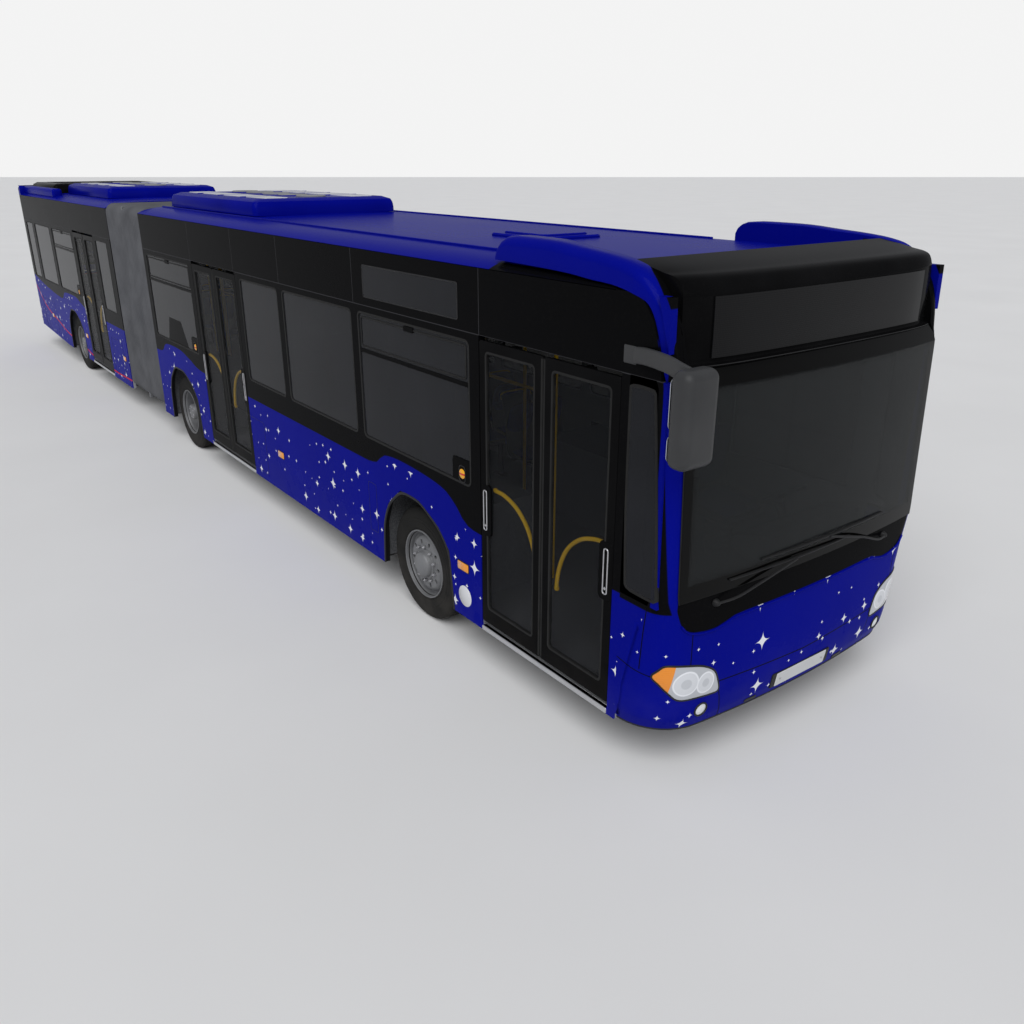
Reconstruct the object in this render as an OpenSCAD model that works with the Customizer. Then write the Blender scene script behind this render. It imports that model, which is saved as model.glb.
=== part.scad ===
// Articulated low-floor city bus, 18 m: two hollow sections joined by a
// turntable with a bellows, three inward-swinging double doors on the right.
// Frame: +X towards the front, +Y to the left, +Z up, ground at Z = 0.
// Places along the body are given as distances behind the front face.

/* [Body] */
// Length of the body from the front face to the tail
body_len = 18125; // [17400:25:22000]
// Width over the side walls
body_w = 2550; // [2400:10:2750]
// Height of the flat roof
roof_z = 3010; // [2900:10:3300]
// Height of the lower edge of the side walls
skirt_z = 310; // [280:5:340]
// Thickness of the walls and the roof
wall_t = 50; // [35:1:60]
// Radius of the rounded roof edge
roof_edge_r = 80; // [60:5:120]
// Height of the floor's upper face
floor_z = 370; // [350:5:400]
// Thickness of the floor plate
floor_t = 30; // [20:1:40]

/* [Axles and wheels] */
// Front axle behind the front face
front_overhang = 2805; // [2700:5:3400]
// Front axle to middle axle
wheelbase_1 = 5900; // [5600:10:7100]
// Middle axle to rear axle
wheelbase_2 = 5990; // [5600:10:7200]
// Outer diameter of a tyre
tyre_d = 957; // [900:1:1000]
// Width of a tyre
tyre_w = 275; // [230:1:305]
// Diameter of the rim's seat
rim_d = 571; // [500:1:600]
// Gap between the two tyres of a twin wheel
twin_gap = 45; // [30:1:60]
// Outer face of the front tyres inside the body's side
front_tyre_inset = 55; // [40:1:80]
// Outer face of the twin tyres inside the body's side
twin_tyre_inset = 70; // [50:1:90]
// Steering axis inboard of the front tyre's outer face
kingpin_inset = 290; // [280:1:320]

/* [Articulation] */
// Pivot behind the middle axle
pivot_back = 1705; // [1500:5:2000]
// Length of the bellows
bellows_len = 1660; // [1600:10:2000]
// Thickness of the hoop in the middle of the bellows
hoop_t = 60; // [40:1:80]
// Thickness of the bellows' skin
bellows_t = 40; // [20:1:50]
// Outer radius of the turntable's bearing rings
ring_r = 600; // [500:5:660]

/* [Doors] */
// Width of a door opening
door_w = 1370; // [1250:10:1500]
// Height of the upper edge of a door opening
door_top = 2500; // [2350:10:2600]
// Height of the door sills
sill_z = 350; // [330:5:365]
// Thickness of a door leaf
leaf_t = 30; // [24:1:36]
// Radius of a door's turning column
column_r = 18; // [14:1:22]
// Front door's middle ahead of the front axle
door_1_ahead = 1615; // [1500:5:1700]
// Middle and rear doors' middles ahead of their axles
door_ahead = 1735; // [1700:5:1850]

/* [Windows] */
// Lower edge of the side windows
window_sill = 1400; // [1300:10:1500]
// Upper edge of the side windows
window_top = 2440; // [2300:10:2500]
// Corner radius of a window
window_r = 45; // [20:1:80]
// Thickness of the glass
glass_t = 8; // [5:1:12]

/* [Nose and tail] */
// Corner radius of the nose seen from above
nose_r = 300; // [250:5:360]
// How far the nose bows out in its middle
nose_bow = 45; // [30:1:60]
// Lower edge of the windscreen
windscreen_sill = 1250; // [1150:10:1350]
// Upper edge of the windscreen
windscreen_top = 2460; // [2350:10:2490]
// Length of the dome over the windscreen
dome_len = 580; // [500:10:700]
// Corner radius of the tail seen from above
tail_r = 250; // [200:5:300]
// Lower edge of the tail
tail_z = 390; // [340:5:440]

/* [Roof equipment] */
// Length of an air-conditioning pod
pod_len = 2850; // [2200:10:3200]
// Width of an air-conditioning pod
pod_w = 1720; // [1400:10:1900]
// Height of a pod above the roof
pod_h = 190; // [140:5:230]
// Length of the front side fairings
fairing_len = 1620; // [1400:10:1900]
// Height of the side fairings above the roof
fairing_h = 115; // [80:5:140]
// Length of the black cover at the tail
tail_cover_len = 2400; // [1700:10:2500]

/* [Mirrors] */
// How far the right mirror reaches ahead of the front face
mirror_lead = 200; // [150:5:260]
// How far the mirrors reach beyond the body's sides
mirror_reach = 245; // [200:5:300]
// Height of a mirror head
mirror_h = 500; // [400:10:600]

/* [Hidden] */
$fn = 48;

// Clearances: moving pieces, running fits, and the overshoot of a cut.
gap = 5;
fit = 0.3;
cut = 1;

// Colours of the real pieces.
blue = "mediumblue";
black = "#202022";
grey = "dimgray";
steel = "silver";
glass = "#3a3f46";
pale = "lightgray";

// Frame: the box over body and mirrors is centred on X = 0 and Y = 0.
x_nose = (body_len - mirror_lead) / 2;
function at(back) = x_nose - back;

half_w = body_w / 2;
wall_in = half_w - wall_t;
roof_low = roof_z - roof_edge_r;
floor_low = floor_z - floor_t;
tyre_r = tyre_d / 2;
rim_r = rim_d / 2;

front_axle_x = at(front_overhang);
middle_axle_x = front_axle_x - wheelbase_1;
rear_axle_x = middle_axle_x - wheelbase_2;
pivot_x = middle_axle_x - pivot_back;
front_end_x = pivot_x + bellows_len / 2;
rear_end_x = pivot_x - bellows_len / 2;
tail_x = at(body_len);

// The nose and the tail are shells that meet the side walls here.
nose_seam_x = at(nose_r + nose_bow + 95);
tail_bow = 40;
tail_seam_x = tail_x + tail_r + tail_bow + 120;

// Wheel arches: reach ahead of and behind the axle, and their tops.
arch_top = 1070;
arch_front = [550, 550];
arch_twin = [690, 500];
arch_slope = 380;
box_gap = 30;
box_t = 15;
box_top = arch_top + 50;
box_in_front = 530;
box_in_twin = 530;

// Chassis rails and axle beams.
rail_y = [380, 460];
rail_z = [240, floor_low];
beam_z = [170, rail_z[0]];
beam_half = 60;
kingpin_y = half_w - front_tyre_inset - kingpin_inset;
front_face_y = half_w - front_tyre_inset;
twin_face_y = half_w - twin_tyre_inset;
twin_w = 2 * tyre_w + twin_gap;
stub_r = 40;
tube_r = 60;

// Doors: the column stands inside the wall; the leaf hangs outboard of its arm.
jamb_cover = 24;
leaf_edge = 30;
leaf_end = 5;
leaf_z = [floor_z + 22, door_top - 30];
arm_t = 10;
arm_a = (door_w / 2 + jamb_cover) / 2;
column_y = -half_w + leaf_t / 2 + 60;
leaf_off = 60;
pin_r = 8;
door_x = [front_axle_x + door_1_ahead, middle_axle_x + door_ahead, rear_axle_x + door_ahead];

// The dome's half width between the fairings.
dome_w = half_w - 110;

// Windows: stretches are split into panes by their shares of the length.
window_z = [window_sill, window_top];
post = 120;
quarter_back = [270, 410];
quarter_z = [windscreen_sill, window_top];
driver_window = [at(1750), at(620)];

function total(v, n) = n == 0 ? 0 : v[n - 1] + total(v, n - 1);
// Panes [rear, front] from x_front backwards to x_rear with posts of width p between them.
function panes(x_front, x_rear, shares, p) =
    let (k = (x_front - x_rear - (len(shares) - 1) * p) / total(shares, len(shares)))
    [for (i = [0:len(shares) - 1])
        let (start = x_front - k * total(shares, i) - i * p) [start - k * shares[i], start]];

right_front_panes = concat(
    panes(door_x[0] - door_w / 2 - post, door_x[1] + door_w / 2 + post, [1580, 1380, 940], post),
    panes(door_x[1] - door_w / 2 - post, front_end_x + post, [1], post));
left_front_panes = concat(
    panes(door_x[0] - door_w / 2 - post, door_x[1] - door_w / 2, [1580, 1380, 1380, 970], post),
    panes(door_x[1] - door_w / 2 - post, front_end_x + post, [1], post));
right_rear_panes = concat(
    panes(rear_end_x - 2 * post, door_x[2] + door_w / 2 + post, [1], post),
    panes(door_x[2] - door_w / 2 - post, tail_seam_x + 40, [1560, 1320, 600], 200));
left_rear_panes = concat(
    panes(rear_end_x - 2 * post, door_x[2] - door_w / 2, [1230, 880], post),
    panes(door_x[2] - door_w / 2 - post, tail_seam_x + 40, [1560, 1320, 600], 200));

// Points of an arc about [x, y].
function arc(x, y, r, a0, a1, n) =
    [for (i = [0:n]) let (a = a0 + (a1 - a0) * i / n) [x + r * cos(a), y + r * sin(a)]];

// A rectangle over two spans with rounded corners.
function rounded(x, y, r) = concat(
    arc(x[1] - r, y[1] - r, r, 0, 90, 4), arc(x[0] + r, y[1] - r, r, 90, 180, 4),
    arc(x[0] + r, y[0] + r, r, 180, 270, 4), arc(x[1] - r, y[0] + r, r, 270, 360, 4));

// Half width line of a bowed front with round corners, as [x ahead, y] from right to left.
function bowed(w, r, bow, inset) = let (f = w - r) concat(
    arc(-bow - r, -f, r - inset, -90, -8, 7),
    [for (i = [-5:5]) let (y = i / 6 * f) [-bow * pow(y / f, 2) - inset, y]],
    arc(-bow - r, f, r - inset, 8, 90, 7));

module box(x, y, z) {
    translate([x[0], y[0], z[0]])
        cube([x[1] - x[0], y[1] - y[0], z[1] - z[0]]);
}

// A drawing in X and Z, given thickness between two Y values.
module across(y) {
    translate([0, y[1], 0])
        rotate([90, 0, 0])
            linear_extrude(y[1] - y[0])
                children();
}

// A drawing in Y and Z, given length between two X values.
module along(x) {
    translate([x[0], 0, 0])
        rotate([90, 0, 90])
            linear_extrude(x[1] - x[0])
                children();
}

module upright(z) {
    translate([0, 0, z[0]])
        linear_extrude(z[1] - z[0])
            children();
}

module both_sides() {
    children();
    mirror([0, 1, 0])
        children();
}

// A round bar from a to b.
module rod(a, b, r) {
    d = b - a;
    h = norm(d);
    translate(a)
        rotate([0, acos(d[2] / h), atan2(d[1], d[0])])
            cylinder(h = h, r = r);
}

/* ---------- side walls ---------- */

// The opening over a wheel: upright sides, sloped shoulders, flat top.
module arch(x, reach) {
    polygon([
        [x - reach[1], skirt_z - cut], [x - reach[1] + 20, arch_top - arch_slope],
        [x - reach[1] + 110, arch_top - 180], [x - reach[1] + 330, arch_top],
        [x + reach[0] - 480, arch_top], [x + reach[0] - 200, arch_top - 130],
        [x + reach[0] - 50, arch_top - 280], [x + reach[0], skirt_z - cut],
    ]);
}

module pane_holes(list) {
    for (p = list)
        polygon(rounded(p, window_z, window_r));
}

module door_hole(x) {
    translate([x - door_w / 2, sill_z])
        square([door_w, door_top - sill_z]);
}

// Side line of a front fairing: it lies on the roof and drops into the front pillar.
fairing_x = [at(180 + fairing_len), at(120)];
module fairing_side() {
    top = roof_z + fairing_h;
    polygon(concat(
        [[fairing_x[0], roof_z - 20], [fairing_x[0] + 80, top - 35], [fairing_x[0] + 200, top]],
        [[at(620), top - 20]],
        arc(at(500), top - 280, 250, 80, 15, 6),
        [[at(165), door_top + 120], [fairing_x[1], door_top], [at(210), door_top]],
        [[at(250), door_top + 190], [at(290), roof_low - 130], [at(380), roof_low - 20]],
        [[at(520), roof_low + 20], [at(720), roof_z - 50]]));
}

module front_wall_outline() {
    difference() {
        polygon([
            [front_end_x, skirt_z], [front_end_x, roof_low], [at(dome_len), roof_low],
            [at(180), roof_low], [at(140), windscreen_sill - 50],
            [nose_seam_x, windscreen_sill - 50], [nose_seam_x, skirt_z],
        ]);
        fairing_side();
        polygon(rounded([at(quarter_back[1]), at(quarter_back[0])], quarter_z, window_r));
        arch(front_axle_x, arch_front);
        arch(middle_axle_x, arch_twin);
    }
}

// The housing of a door's drive hangs inside the wall and stays clear of the dome.
module drive_housing(x) {
    ends = [x - door_w / 2 - 60, x + door_w / 2 + 60];
    z = [door_top, door_top + 160];
    color(grey) {
        box([ends[0], min(ends[1], at(dome_len) - gap)], [-wall_in + fit, -wall_in + 190], z);
        box(ends, [-wall_in + fit, -dome_w - gap], z);
    }
}

module wall_right_front() {
    color(blue)
    across([-half_w, -wall_in])
        difference() {
            front_wall_outline();
            pane_holes(right_front_panes);
            door_hole(door_x[0]);
            door_hole(door_x[1]);
        }
    drive_housing(door_x[0]);
    drive_housing(door_x[1]);
}

module wall_left_front() {
    color(blue)
    across([wall_in, half_w])
        difference() {
            front_wall_outline();
            pane_holes(left_front_panes);
            polygon(rounded(driver_window, [windscreen_sill, window_top], window_r));
        }
}

module rear_wall_outline() {
    difference() {
        polygon([
            [rear_end_x, skirt_z], [rear_end_x, roof_low], [tail_seam_x, roof_low],
            [tail_seam_x, tail_z], [rear_axle_x - arch_twin[1] - 300, skirt_z],
        ]);
        arch(rear_axle_x, arch_twin);
    }
}

module wall_right_rear() {
    color(blue)
    across([-half_w, -wall_in])
        difference() {
            rear_wall_outline();
            pane_holes(right_rear_panes);
            door_hole(door_x[2]);
        }
    drive_housing(door_x[2]);
}

module wall_left_rear() {
    color(blue)
    across([wall_in, half_w])
        difference() {
            rear_wall_outline();
            pane_holes(left_rear_panes);
        }
}

module panes_in_walls(list, y) {
    for (p = list)
        across(y)
            polygon(rounded(p, window_z, window_r));
}

module windows_front() {
    right = [-half_w + 4, -half_w + 4 + glass_t];
    left = [half_w - 4 - glass_t, half_w - 4];
    color(glass) {
        panes_in_walls(right_front_panes, right);
        panes_in_walls(left_front_panes, left);
        across(left)
            polygon(rounded(driver_window, [windscreen_sill, window_top], window_r));
        for (y = [right, left])
            across(y)
                polygon(rounded([at(quarter_back[1]), at(quarter_back[0])], quarter_z, window_r));
    }
}

/* ---------- roof ---------- */

// The roof in cross-section: flat with two rounded edges.
module roof_section() {
    inner = roof_edge_r - wall_t;
    polygon(concat(
        arc(half_w - roof_edge_r, roof_low, roof_edge_r, 0, 90, 6),
        arc(-half_w + roof_edge_r, roof_low, roof_edge_r, 90, 180, 6),
        arc(-half_w + roof_edge_r, roof_low, inner, 180, 90, 6),
        arc(half_w - roof_edge_r, roof_low, inner, 90, 0, 6)));
}

module roof_outer() {
    polygon(concat(
        arc(half_w - roof_edge_r, roof_low, roof_edge_r, 0, 90, 6),
        arc(-half_w + roof_edge_r, roof_low, roof_edge_r, 90, 180, 6)));
}

hatch = [700, 620, 35];
module hatch_at(x) {
    translate([x - hatch[0] / 2, -hatch[1] / 2, roof_z - cut])
        cube([hatch[0], hatch[1], hatch[2] + cut]);
}

module roof_front() {
    color(blue) {
        along([front_end_x, at(dome_len)])
            roof_section();
        hatch_at(front_axle_x + 30);
    }
}

// A fairing is solid from the body's side inwards and lies on the roof.
fairing_w = 235;
module roof_fairings() {
    color(blue)
    both_sides()
        difference() {
            union() {
                across([half_w - wall_t, half_w])
                    fairing_side();
                intersection() {
                    across([half_w - fairing_w, half_w])
                        fairing_side();
                    box([fairing_x[0] - cut, at(dome_len)], [0, half_w], [roof_z, roof_z + 200]);
                }
            }
            along([front_end_x, at(dome_len)])
                roof_outer();
        }
}

// A pod: a low box with sloped ends and sides, lying on the roof.
module pod(x_front) {
    slope = 90;
    intersection() {
        along([x_front - pod_len, x_front])
            polygon([
                [-pod_w / 2, roof_z], [-pod_w / 2 + 15, roof_z + pod_h - slope],
                [-pod_w / 2 + slope, roof_z + pod_h], [pod_w / 2 - slope, roof_z + pod_h],
                [pod_w / 2 - 15, roof_z + pod_h - slope], [pod_w / 2, roof_z],
            ]);
        across([-pod_w / 2, pod_w / 2])
            polygon([
                [x_front - pod_len, roof_z], [x_front - pod_len + 20, roof_z + pod_h - slope],
                [x_front - pod_len + slope, roof_z + pod_h], [x_front - slope, roof_z + pod_h],
                [x_front - 20, roof_z + pod_h - slope], [x_front, roof_z],
            ]);
    }
}

module roof_pod_front() {
    color(blue)
    pod(front_end_x + 80 + pod_len);
}

module roof_pod_rear() {
    color(blue)
    pod(min(rear_end_x - 1160, tail_x + tail_cover_len + 250 + pod_len));
}

module roof_rear() {
    color(blue) {
        along([tail_seam_x, rear_end_x])
            roof_section();
        both_sides()
            across([half_w - fairing_w, half_w - roof_edge_r])
                polygon([
                    [tail_seam_x, roof_z - cut], [tail_seam_x, roof_z + 90],
                    [tail_x + tail_cover_len, roof_z + 90],
                    [tail_x + tail_cover_len + 150, roof_z - cut],
                ]);
    }
}

// The black cover at the tail closes the roof behind the seam of the side walls.
module tail_cover() {
    color(black) {
        along([tail_seam_x, tail_x + tail_cover_len])
            polygon([
                [-half_w + fairing_w, roof_z], [-half_w + fairing_w, roof_z + 110],
                [-half_w + fairing_w + 60, roof_z + 160], [half_w - fairing_w - 60, roof_z + 160],
                [half_w - fairing_w, roof_z + 110], [half_w - fairing_w, roof_z],
            ]);
        translate([tail_x, 0, 0])
            upright([roof_low, roof_z + 90])
                mirror([1, 0, 0])
                    polygon(concat(bowed(half_w, tail_r, tail_bow, 0),
                        [[tail_x - tail_seam_x, half_w], [tail_x - tail_seam_x, -half_w]]));
    }
}

/* ---------- nose ---------- */

module nose_shell(z, t) {
    back = nose_seam_x - x_nose;
    translate([x_nose, 0, 0])
        upright(z)
            polygon(concat(
                [[back, -half_w]], bowed(half_w, nose_r, nose_bow, 0), [[back, half_w]],
                [[back, half_w - t]],
                [for (p = bowed(half_w, nose_r, nose_bow, t)) [p[0], -p[1]]],
                [[back, -half_w + t]]));
}

lamp_y = [720, half_w + cut];
lamp_z = [500, 860];
lamp_back = 330;
fog_y = 954;
fog_z = 425;
fog_r = 45;

module lamp_space() {
    box([at(lamp_back), x_nose + cut], lamp_y, lamp_z);
}

module fog_space() {
    translate([at(200), fog_y, fog_z])
        rotate([0, 90, 0])
            cylinder(h = 220, r = fog_r);
}

// A flat pad in the bumper takes the front number plate, with two screw holes.
plate_y = 303;
plate_z = [375, 482];
plate_hole_r = 3;
plate_hole_y = 150;
plate_face_x = at(-12);

// The wipers' spindles pass through the nose here, as [y, z].
spindles = [[-880, 1170], [820, 1170]];
wiper_r = 18;
module spindle(s, r) {
    translate([at(90), s[0], s[1]])
        rotate([0, 90, 0])
            cylinder(h = 110, r = r);
}

pillar_x = [at(140), at(45)];
module nose() {
    color(blue)
    difference() {
        union() {
            nose_shell([skirt_z, windscreen_sill], wall_t);
            box([at(30), plate_face_x], [-plate_y, plate_y], plate_z);
        }
        both_sides() {
            lamp_space();
            fog_space();
            translate([at(60), plate_hole_y, (plate_z[0] + plate_z[1]) / 2])
                rotate([0, 90, 0])
                    cylinder(h = 100, r = plate_hole_r);
        }
        both_sides()
            box([nose_seam_x - cut, at(140)], [wall_in - cut, half_w + cut],
                [windscreen_sill - 50, windscreen_sill + cut]);
        for (s = spindles)
            spindle(s, wiper_r + fit);
    }
    // Front pillars and the rail over the windscreen.
    color(black) {
        both_sides()
            box(pillar_x, [wall_in - 35, half_w], [windscreen_sill, door_top]);
        box(pillar_x, [-wall_in + 35, wall_in - 35], [windscreen_top, door_top]);
    }
}

module headlamps() {
    color("whitesmoke")
    both_sides()
        intersection() {
            nose_shell([skirt_z, windscreen_sill], wall_t);
            union() {
                lamp_space();
                fog_space();
            }
        }
}

module windscreen() {
    w = wall_in - 35;
    bow = 18;
    front = at(40);
    curve = [for (i = [-8:8]) [-bow * pow(i / 8, 2), i / 8 * w]];
    color(glass)
    translate([front, 0, 0])
        upright([windscreen_sill, windscreen_top])
            polygon(concat(curve,
                [for (i = [8:-1:-8]) [-bow * pow(i / 8, 2) - glass_t, i / 8 * w]]));
}

// The dome carries the front display; it is a shell that leans back over the roof.
module dome() {
    w = dome_w;
    color(black)
    difference() {
        intersection() {
            across([-w, w])
                polygon([
                    [at(100), door_top], [at(115), door_top + 90], [at(118), roof_z - 80],
                    [at(95), roof_z - 5], [at(140), roof_z + 20], [at(300), roof_z + 50],
                    [at(dome_len), roof_z + 70], [at(dome_len), door_top],
                ]);
            translate([at(90), 0, 0])
                upright([door_top - cut, roof_z + 100])
                    polygon(concat([for (i = [-8:8]) [-120 * pow(i / 8, 2), i / 8 * w]],
                        [[-dome_len, w], [-dome_len, -w]]));
        }
        box([at(dome_len) - cut, at(280)], [-w + 40, w - 40], [door_top - cut, roof_z + 10]);
    }
}

// Wipers: a spindle in the nose, an arm and a blade that lies low on the glass.
module wiper(s, joint, blade) {
    x = at(-12);
    spindle(s, wiper_r);
    rod([x, s[0], s[1]], [x, joint[0], joint[1]], 9);
    rod([x, blade[0], blade[2]], [x, blade[1], blade[2]], 7);
}

module wipers() {
    color(black) {
        wiper(spindles[0], [-560, 1300], [-800, 340, 1300]);
        wiper(spindles[1], [400, 1365], [-540, 720, 1365]);
    }
}

module mirrors() {
    side = half_w + mirror_reach;
    color(grey) {
        // Right: a flat arm from the side, curving ahead to the hanging head.
        upright([door_top + 60, door_top + 150])
            polygon([
                [at(520), -half_w], [at(330), -half_w - 75], [at(60), -half_w - 110],
                [at(-60), -side + 80], [at(-60), -half_w - 20], [at(150), -half_w - 40],
                [at(330), -half_w],
            ]);
        upright([door_top + 150 - mirror_h, door_top + 150])
            polygon(rounded([at(-60), at(-mirror_lead)], [-side, -half_w - 5], 40));
        // Left: a short arm beside the driver's window.
        upright([1900, 1990])
            polygon([[at(430), half_w], [at(340), half_w], [at(330), half_w + 60], [at(420), half_w + 60]]);
        upright([2200 - mirror_h, 2200])
            polygon(rounded([at(450), at(310)], [half_w + 45, side], 40));
    }
}

/* ---------- floor, chassis and axles ---------- */

// The room over a pair of wheels, grown outwards by a thickness.
module wheel_room(x, reach, y_in, grow, z) {
    both_sides()
        box([x - reach[1] - box_gap - grow, x + reach[0] + box_gap + grow],
            [y_in + box_t - grow, wall_in + (grow > 0 ? 0 : cut)], z);
}

// A floor plate's cut-outs over a pair of wheels.
module wheel_cuts(x, reach, y_in) {
    wheel_room(x, reach, y_in, 0, [floor_low - cut, floor_z + cut]);
}

// The boxes that stand on the floor plate around those cut-outs.
module wheel_boxes(x, reach, y_in) {
    difference() {
        wheel_room(x, reach, y_in, box_t, [floor_z + fit, box_top]);
        wheel_room(x, reach, y_in, 0, [floor_z, box_top - box_t]);
    }
}

module floor_front() {
    color(grey) {
        difference() {
            box([front_end_x, nose_seam_x], [-wall_in, wall_in], [floor_low, floor_z]);
            wheel_cuts(front_axle_x, arch_front, box_in_front);
            wheel_cuts(middle_axle_x, arch_twin, box_in_twin);
        }
        wheel_boxes(front_axle_x, arch_front, box_in_front);
        wheel_boxes(middle_axle_x, arch_twin, box_in_twin);
    }
}

podium_x = tail_x + 2025;
podium_z = 1350;
module floor_rear() {
    color(grey) {
        difference() {
            box([podium_x, rear_end_x], [-wall_in, wall_in], [floor_low, floor_z]);
            wheel_cuts(rear_axle_x, arch_twin, box_in_twin);
        }
        box([podium_x - floor_t, podium_x], [-wall_in, wall_in], [floor_low, podium_z]);
        box([tail_seam_x, podium_x], [-wall_in, wall_in], [podium_z - floor_t, podium_z]);
        wheel_boxes(rear_axle_x, arch_twin, box_in_twin);
    }
}

// Two rails with cross members in front of and behind each axle.
module rails(x) {
    both_sides()
        box(x, rail_y, rail_z);
    n = floor((x[1] - x[0]) / 1100);
    for (i = [0:n])
        translate([x[0] + (x[1] - x[0] - 80) * i / n, -rail_y[1], rail_z[0] + 40])
            cube([80, 2 * rail_y[1], rail_z[1] - rail_z[0] - 40]);
}

ring_in = 350;
ring_low = [220, 270];
ring_high = [ring_low[1] + fit, floor_low - fit];

module ring(z) {
    translate([pivot_x, 0, 0])
        rotate_extrude()
            translate([ring_in, z[0]])
                square([ring_r - ring_in, z[1] - z[0]]);
}

// An arm from a section's rails to its bearing ring.
module ring_arm(x, z) {
    both_sides()
        box(x, rail_y, z);
}

tow_socket_r = 16;
tow_socket_x = [at(220), at(140)];
module chassis_front() {
    color(grey) {
        rails([front_end_x, tow_socket_x[0]]);
        ring(ring_low);
        ring_arm([pivot_x + 380, front_end_x + 80], ring_low);
    }
}

// Blocks at the rails' front ends with the sockets of the screw-in towing eyes.
module tow_sockets() {
    color(grey)
    both_sides()
        difference() {
            box(tow_socket_x, rail_y, rail_z);
            translate([tow_socket_x[0] - cut, (rail_y[0] + rail_y[1]) / 2, (rail_z[0] + rail_z[1]) / 2])
                rotate([0, 90, 0])
                    cylinder(h = tow_socket_x[1] - tow_socket_x[0] + 2 * cut, r = tow_socket_r);
        }
}

module chassis_rear() {
    color(grey) {
        rails([tail_x + 250, rear_end_x]);
        ring(ring_high);
        ring_arm([rear_end_x - 80, pivot_x - 380], ring_high);
    }
}

module front_axle() {
    color(grey)
    translate([front_axle_x, 0, 0])
        difference() {
            union() {
                box([-beam_half, beam_half], [-kingpin_y + 50, kingpin_y - 50], beam_z);
                both_sides() {
                    box([-50, 50], [kingpin_y - 150, kingpin_y - 50], [beam_z[0], tyre_r + 80]);
                    box([-40, 40], [kingpin_y - 60, kingpin_y], [tyre_r - 70, tyre_r + 60]);
                    translate([0, kingpin_y, tyre_r - 70])
                        cylinder(h = 130, r = 42);
                }
            }
            both_sides()
                translate([0, kingpin_y, tyre_r - 80])
                    cylinder(h = 150, r = 18 + fit);
        }
}

// A knuckle: two eyes on the kingpin, a plate outboard and the wheel's stub.
module knuckle() {
    color(steel)
    translate([front_axle_x, 0, 0]) {
        translate([0, kingpin_y, tyre_r - 115])
            cylinder(h = 220, r = 18);
        for (z = [tyre_r - 115, tyre_r + 65])
            translate([0, kingpin_y, z]) {
                cylinder(h = 40, r = 42);
                translate([-42, 0, 0])
                    cube([84, 55, 40]);
            }
        box([-60, 60], [kingpin_y + 50, kingpin_y + 70], [tyre_r - 115, tyre_r + 105]);
        translate([0, front_face_y - 5, tyre_r])
            rotate([90, 0, 0])
                cylinder(h = front_face_y - 5 - kingpin_y - 60, r = stub_r);
    }
}

module knuckle_left() {
    knuckle();
}

module knuckle_right() {
    mirror([0, 1, 0])
        knuckle();
}

// A drop axle for twin wheels: low beam, uprights beside the wheels, hub tubes.
module twin_axle(x) {
    up = [box_in_twin + box_t + gap, twin_face_y - twin_w - 2 * gap];
    color(grey)
    translate([x, 0, 0])
        both_sides() {
            box([-beam_half, beam_half], [0, up[1]], beam_z);
            box([-90, 90], up, [beam_z[0], tyre_r + 90]);
            translate([0, twin_face_y - 65, tyre_r])
                rotate([90, 0, 0])
                    cylinder(h = twin_face_y - 65 - up[0], r = tube_r);
        }
}

module middle_axle() {
    twin_axle(middle_axle_x);
}

module rear_axle() {
    twin_axle(rear_axle_x);
}

/* ---------- wheels ---------- */

barrel_r = rim_r - 22;
hub_r = 120;
hole_r = 22;
hole_ring = 190;

// A tyre's outline from its outer to its inner bead; w is its outer face.
function tyre_line(w) = [
    [rim_r, w + 8], [rim_r + 40, w], [tyre_r - 40, w + 4], [tyre_r - 10, w + 20],
    [tyre_r, w + 45], [tyre_r, w + tyre_w - 45], [tyre_r - 10, w + tyre_w - 20],
    [tyre_r - 40, w + tyre_w - 4], [rim_r + 40, w + tyre_w], [rim_r, w + tyre_w - 8],
];

// Lays a wheel's profile, drawn as [radius, depth], on the axle at the left side.
module on_axle(x, face_y) {
    translate([x, face_y, tyre_r])
        rotate([90, 0, 0])
            children();
}

module hand_holes(depth, t) {
    for (i = [0:9])
        rotate([0, 0, 36 * i])
            translate([hole_ring, 0, depth - cut])
                cylinder(h = t + 2 * cut, r = hole_r);
}

module front_wheel() {
    disc = [25, 45];
    color(black)
    on_axle(front_axle_x, front_face_y)
        difference() {
            rotate_extrude()
                polygon(concat(
                    [[0, -30], [100, -30], [hub_r, -10], [hub_r, disc[0]], [barrel_r, disc[0]],
                    [barrel_r, 8]], tyre_line(0),
                    [[barrel_r, tyre_w - 8], [barrel_r, disc[1]], [hub_r, disc[1]],
                    [hub_r, 90], [stub_r + fit, 90], [stub_r + fit, 0], [0, 0]]));
            hand_holes(disc[0], disc[1] - disc[0]);
        }
}

module twin_wheel(x) {
    disc = [tyre_w + twin_gap / 2 - 12, tyre_w + twin_gap / 2 + 12];
    color(black)
    on_axle(x, twin_face_y)
        difference() {
            rotate_extrude()
                polygon(concat(
                    [[0, 20], [hub_r - 15, 20], [hub_r, 40], [hub_r, disc[0]],
                    [barrel_r, disc[0]], [barrel_r, 8]],
                    tyre_line(0), tyre_line(tyre_w + twin_gap),
                    [[barrel_r, twin_w - 8], [barrel_r, disc[1]], [hub_r, disc[1]],
                    [hub_r, disc[1] + 60], [tube_r + fit, disc[1] + 60], [tube_r + fit, 60],
                    [0, 60]]));
            hand_holes(disc[0], disc[1] - disc[0]);
        }
}

/* ---------- articulation ---------- */

hoop_w = half_w - 25;
hoop_top = roof_z - 30;
platform_r = bellows_len / 2 - 30;

module hoop_section(y0, z0) {
    polygon([
        [-hoop_w, floor_low], [-hoop_w, hoop_top], [hoop_w, hoop_top], [hoop_w, floor_low],
        [y0, floor_low], [y0, z0], [-y0, z0], [-y0, floor_low],
    ]);
}

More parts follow.
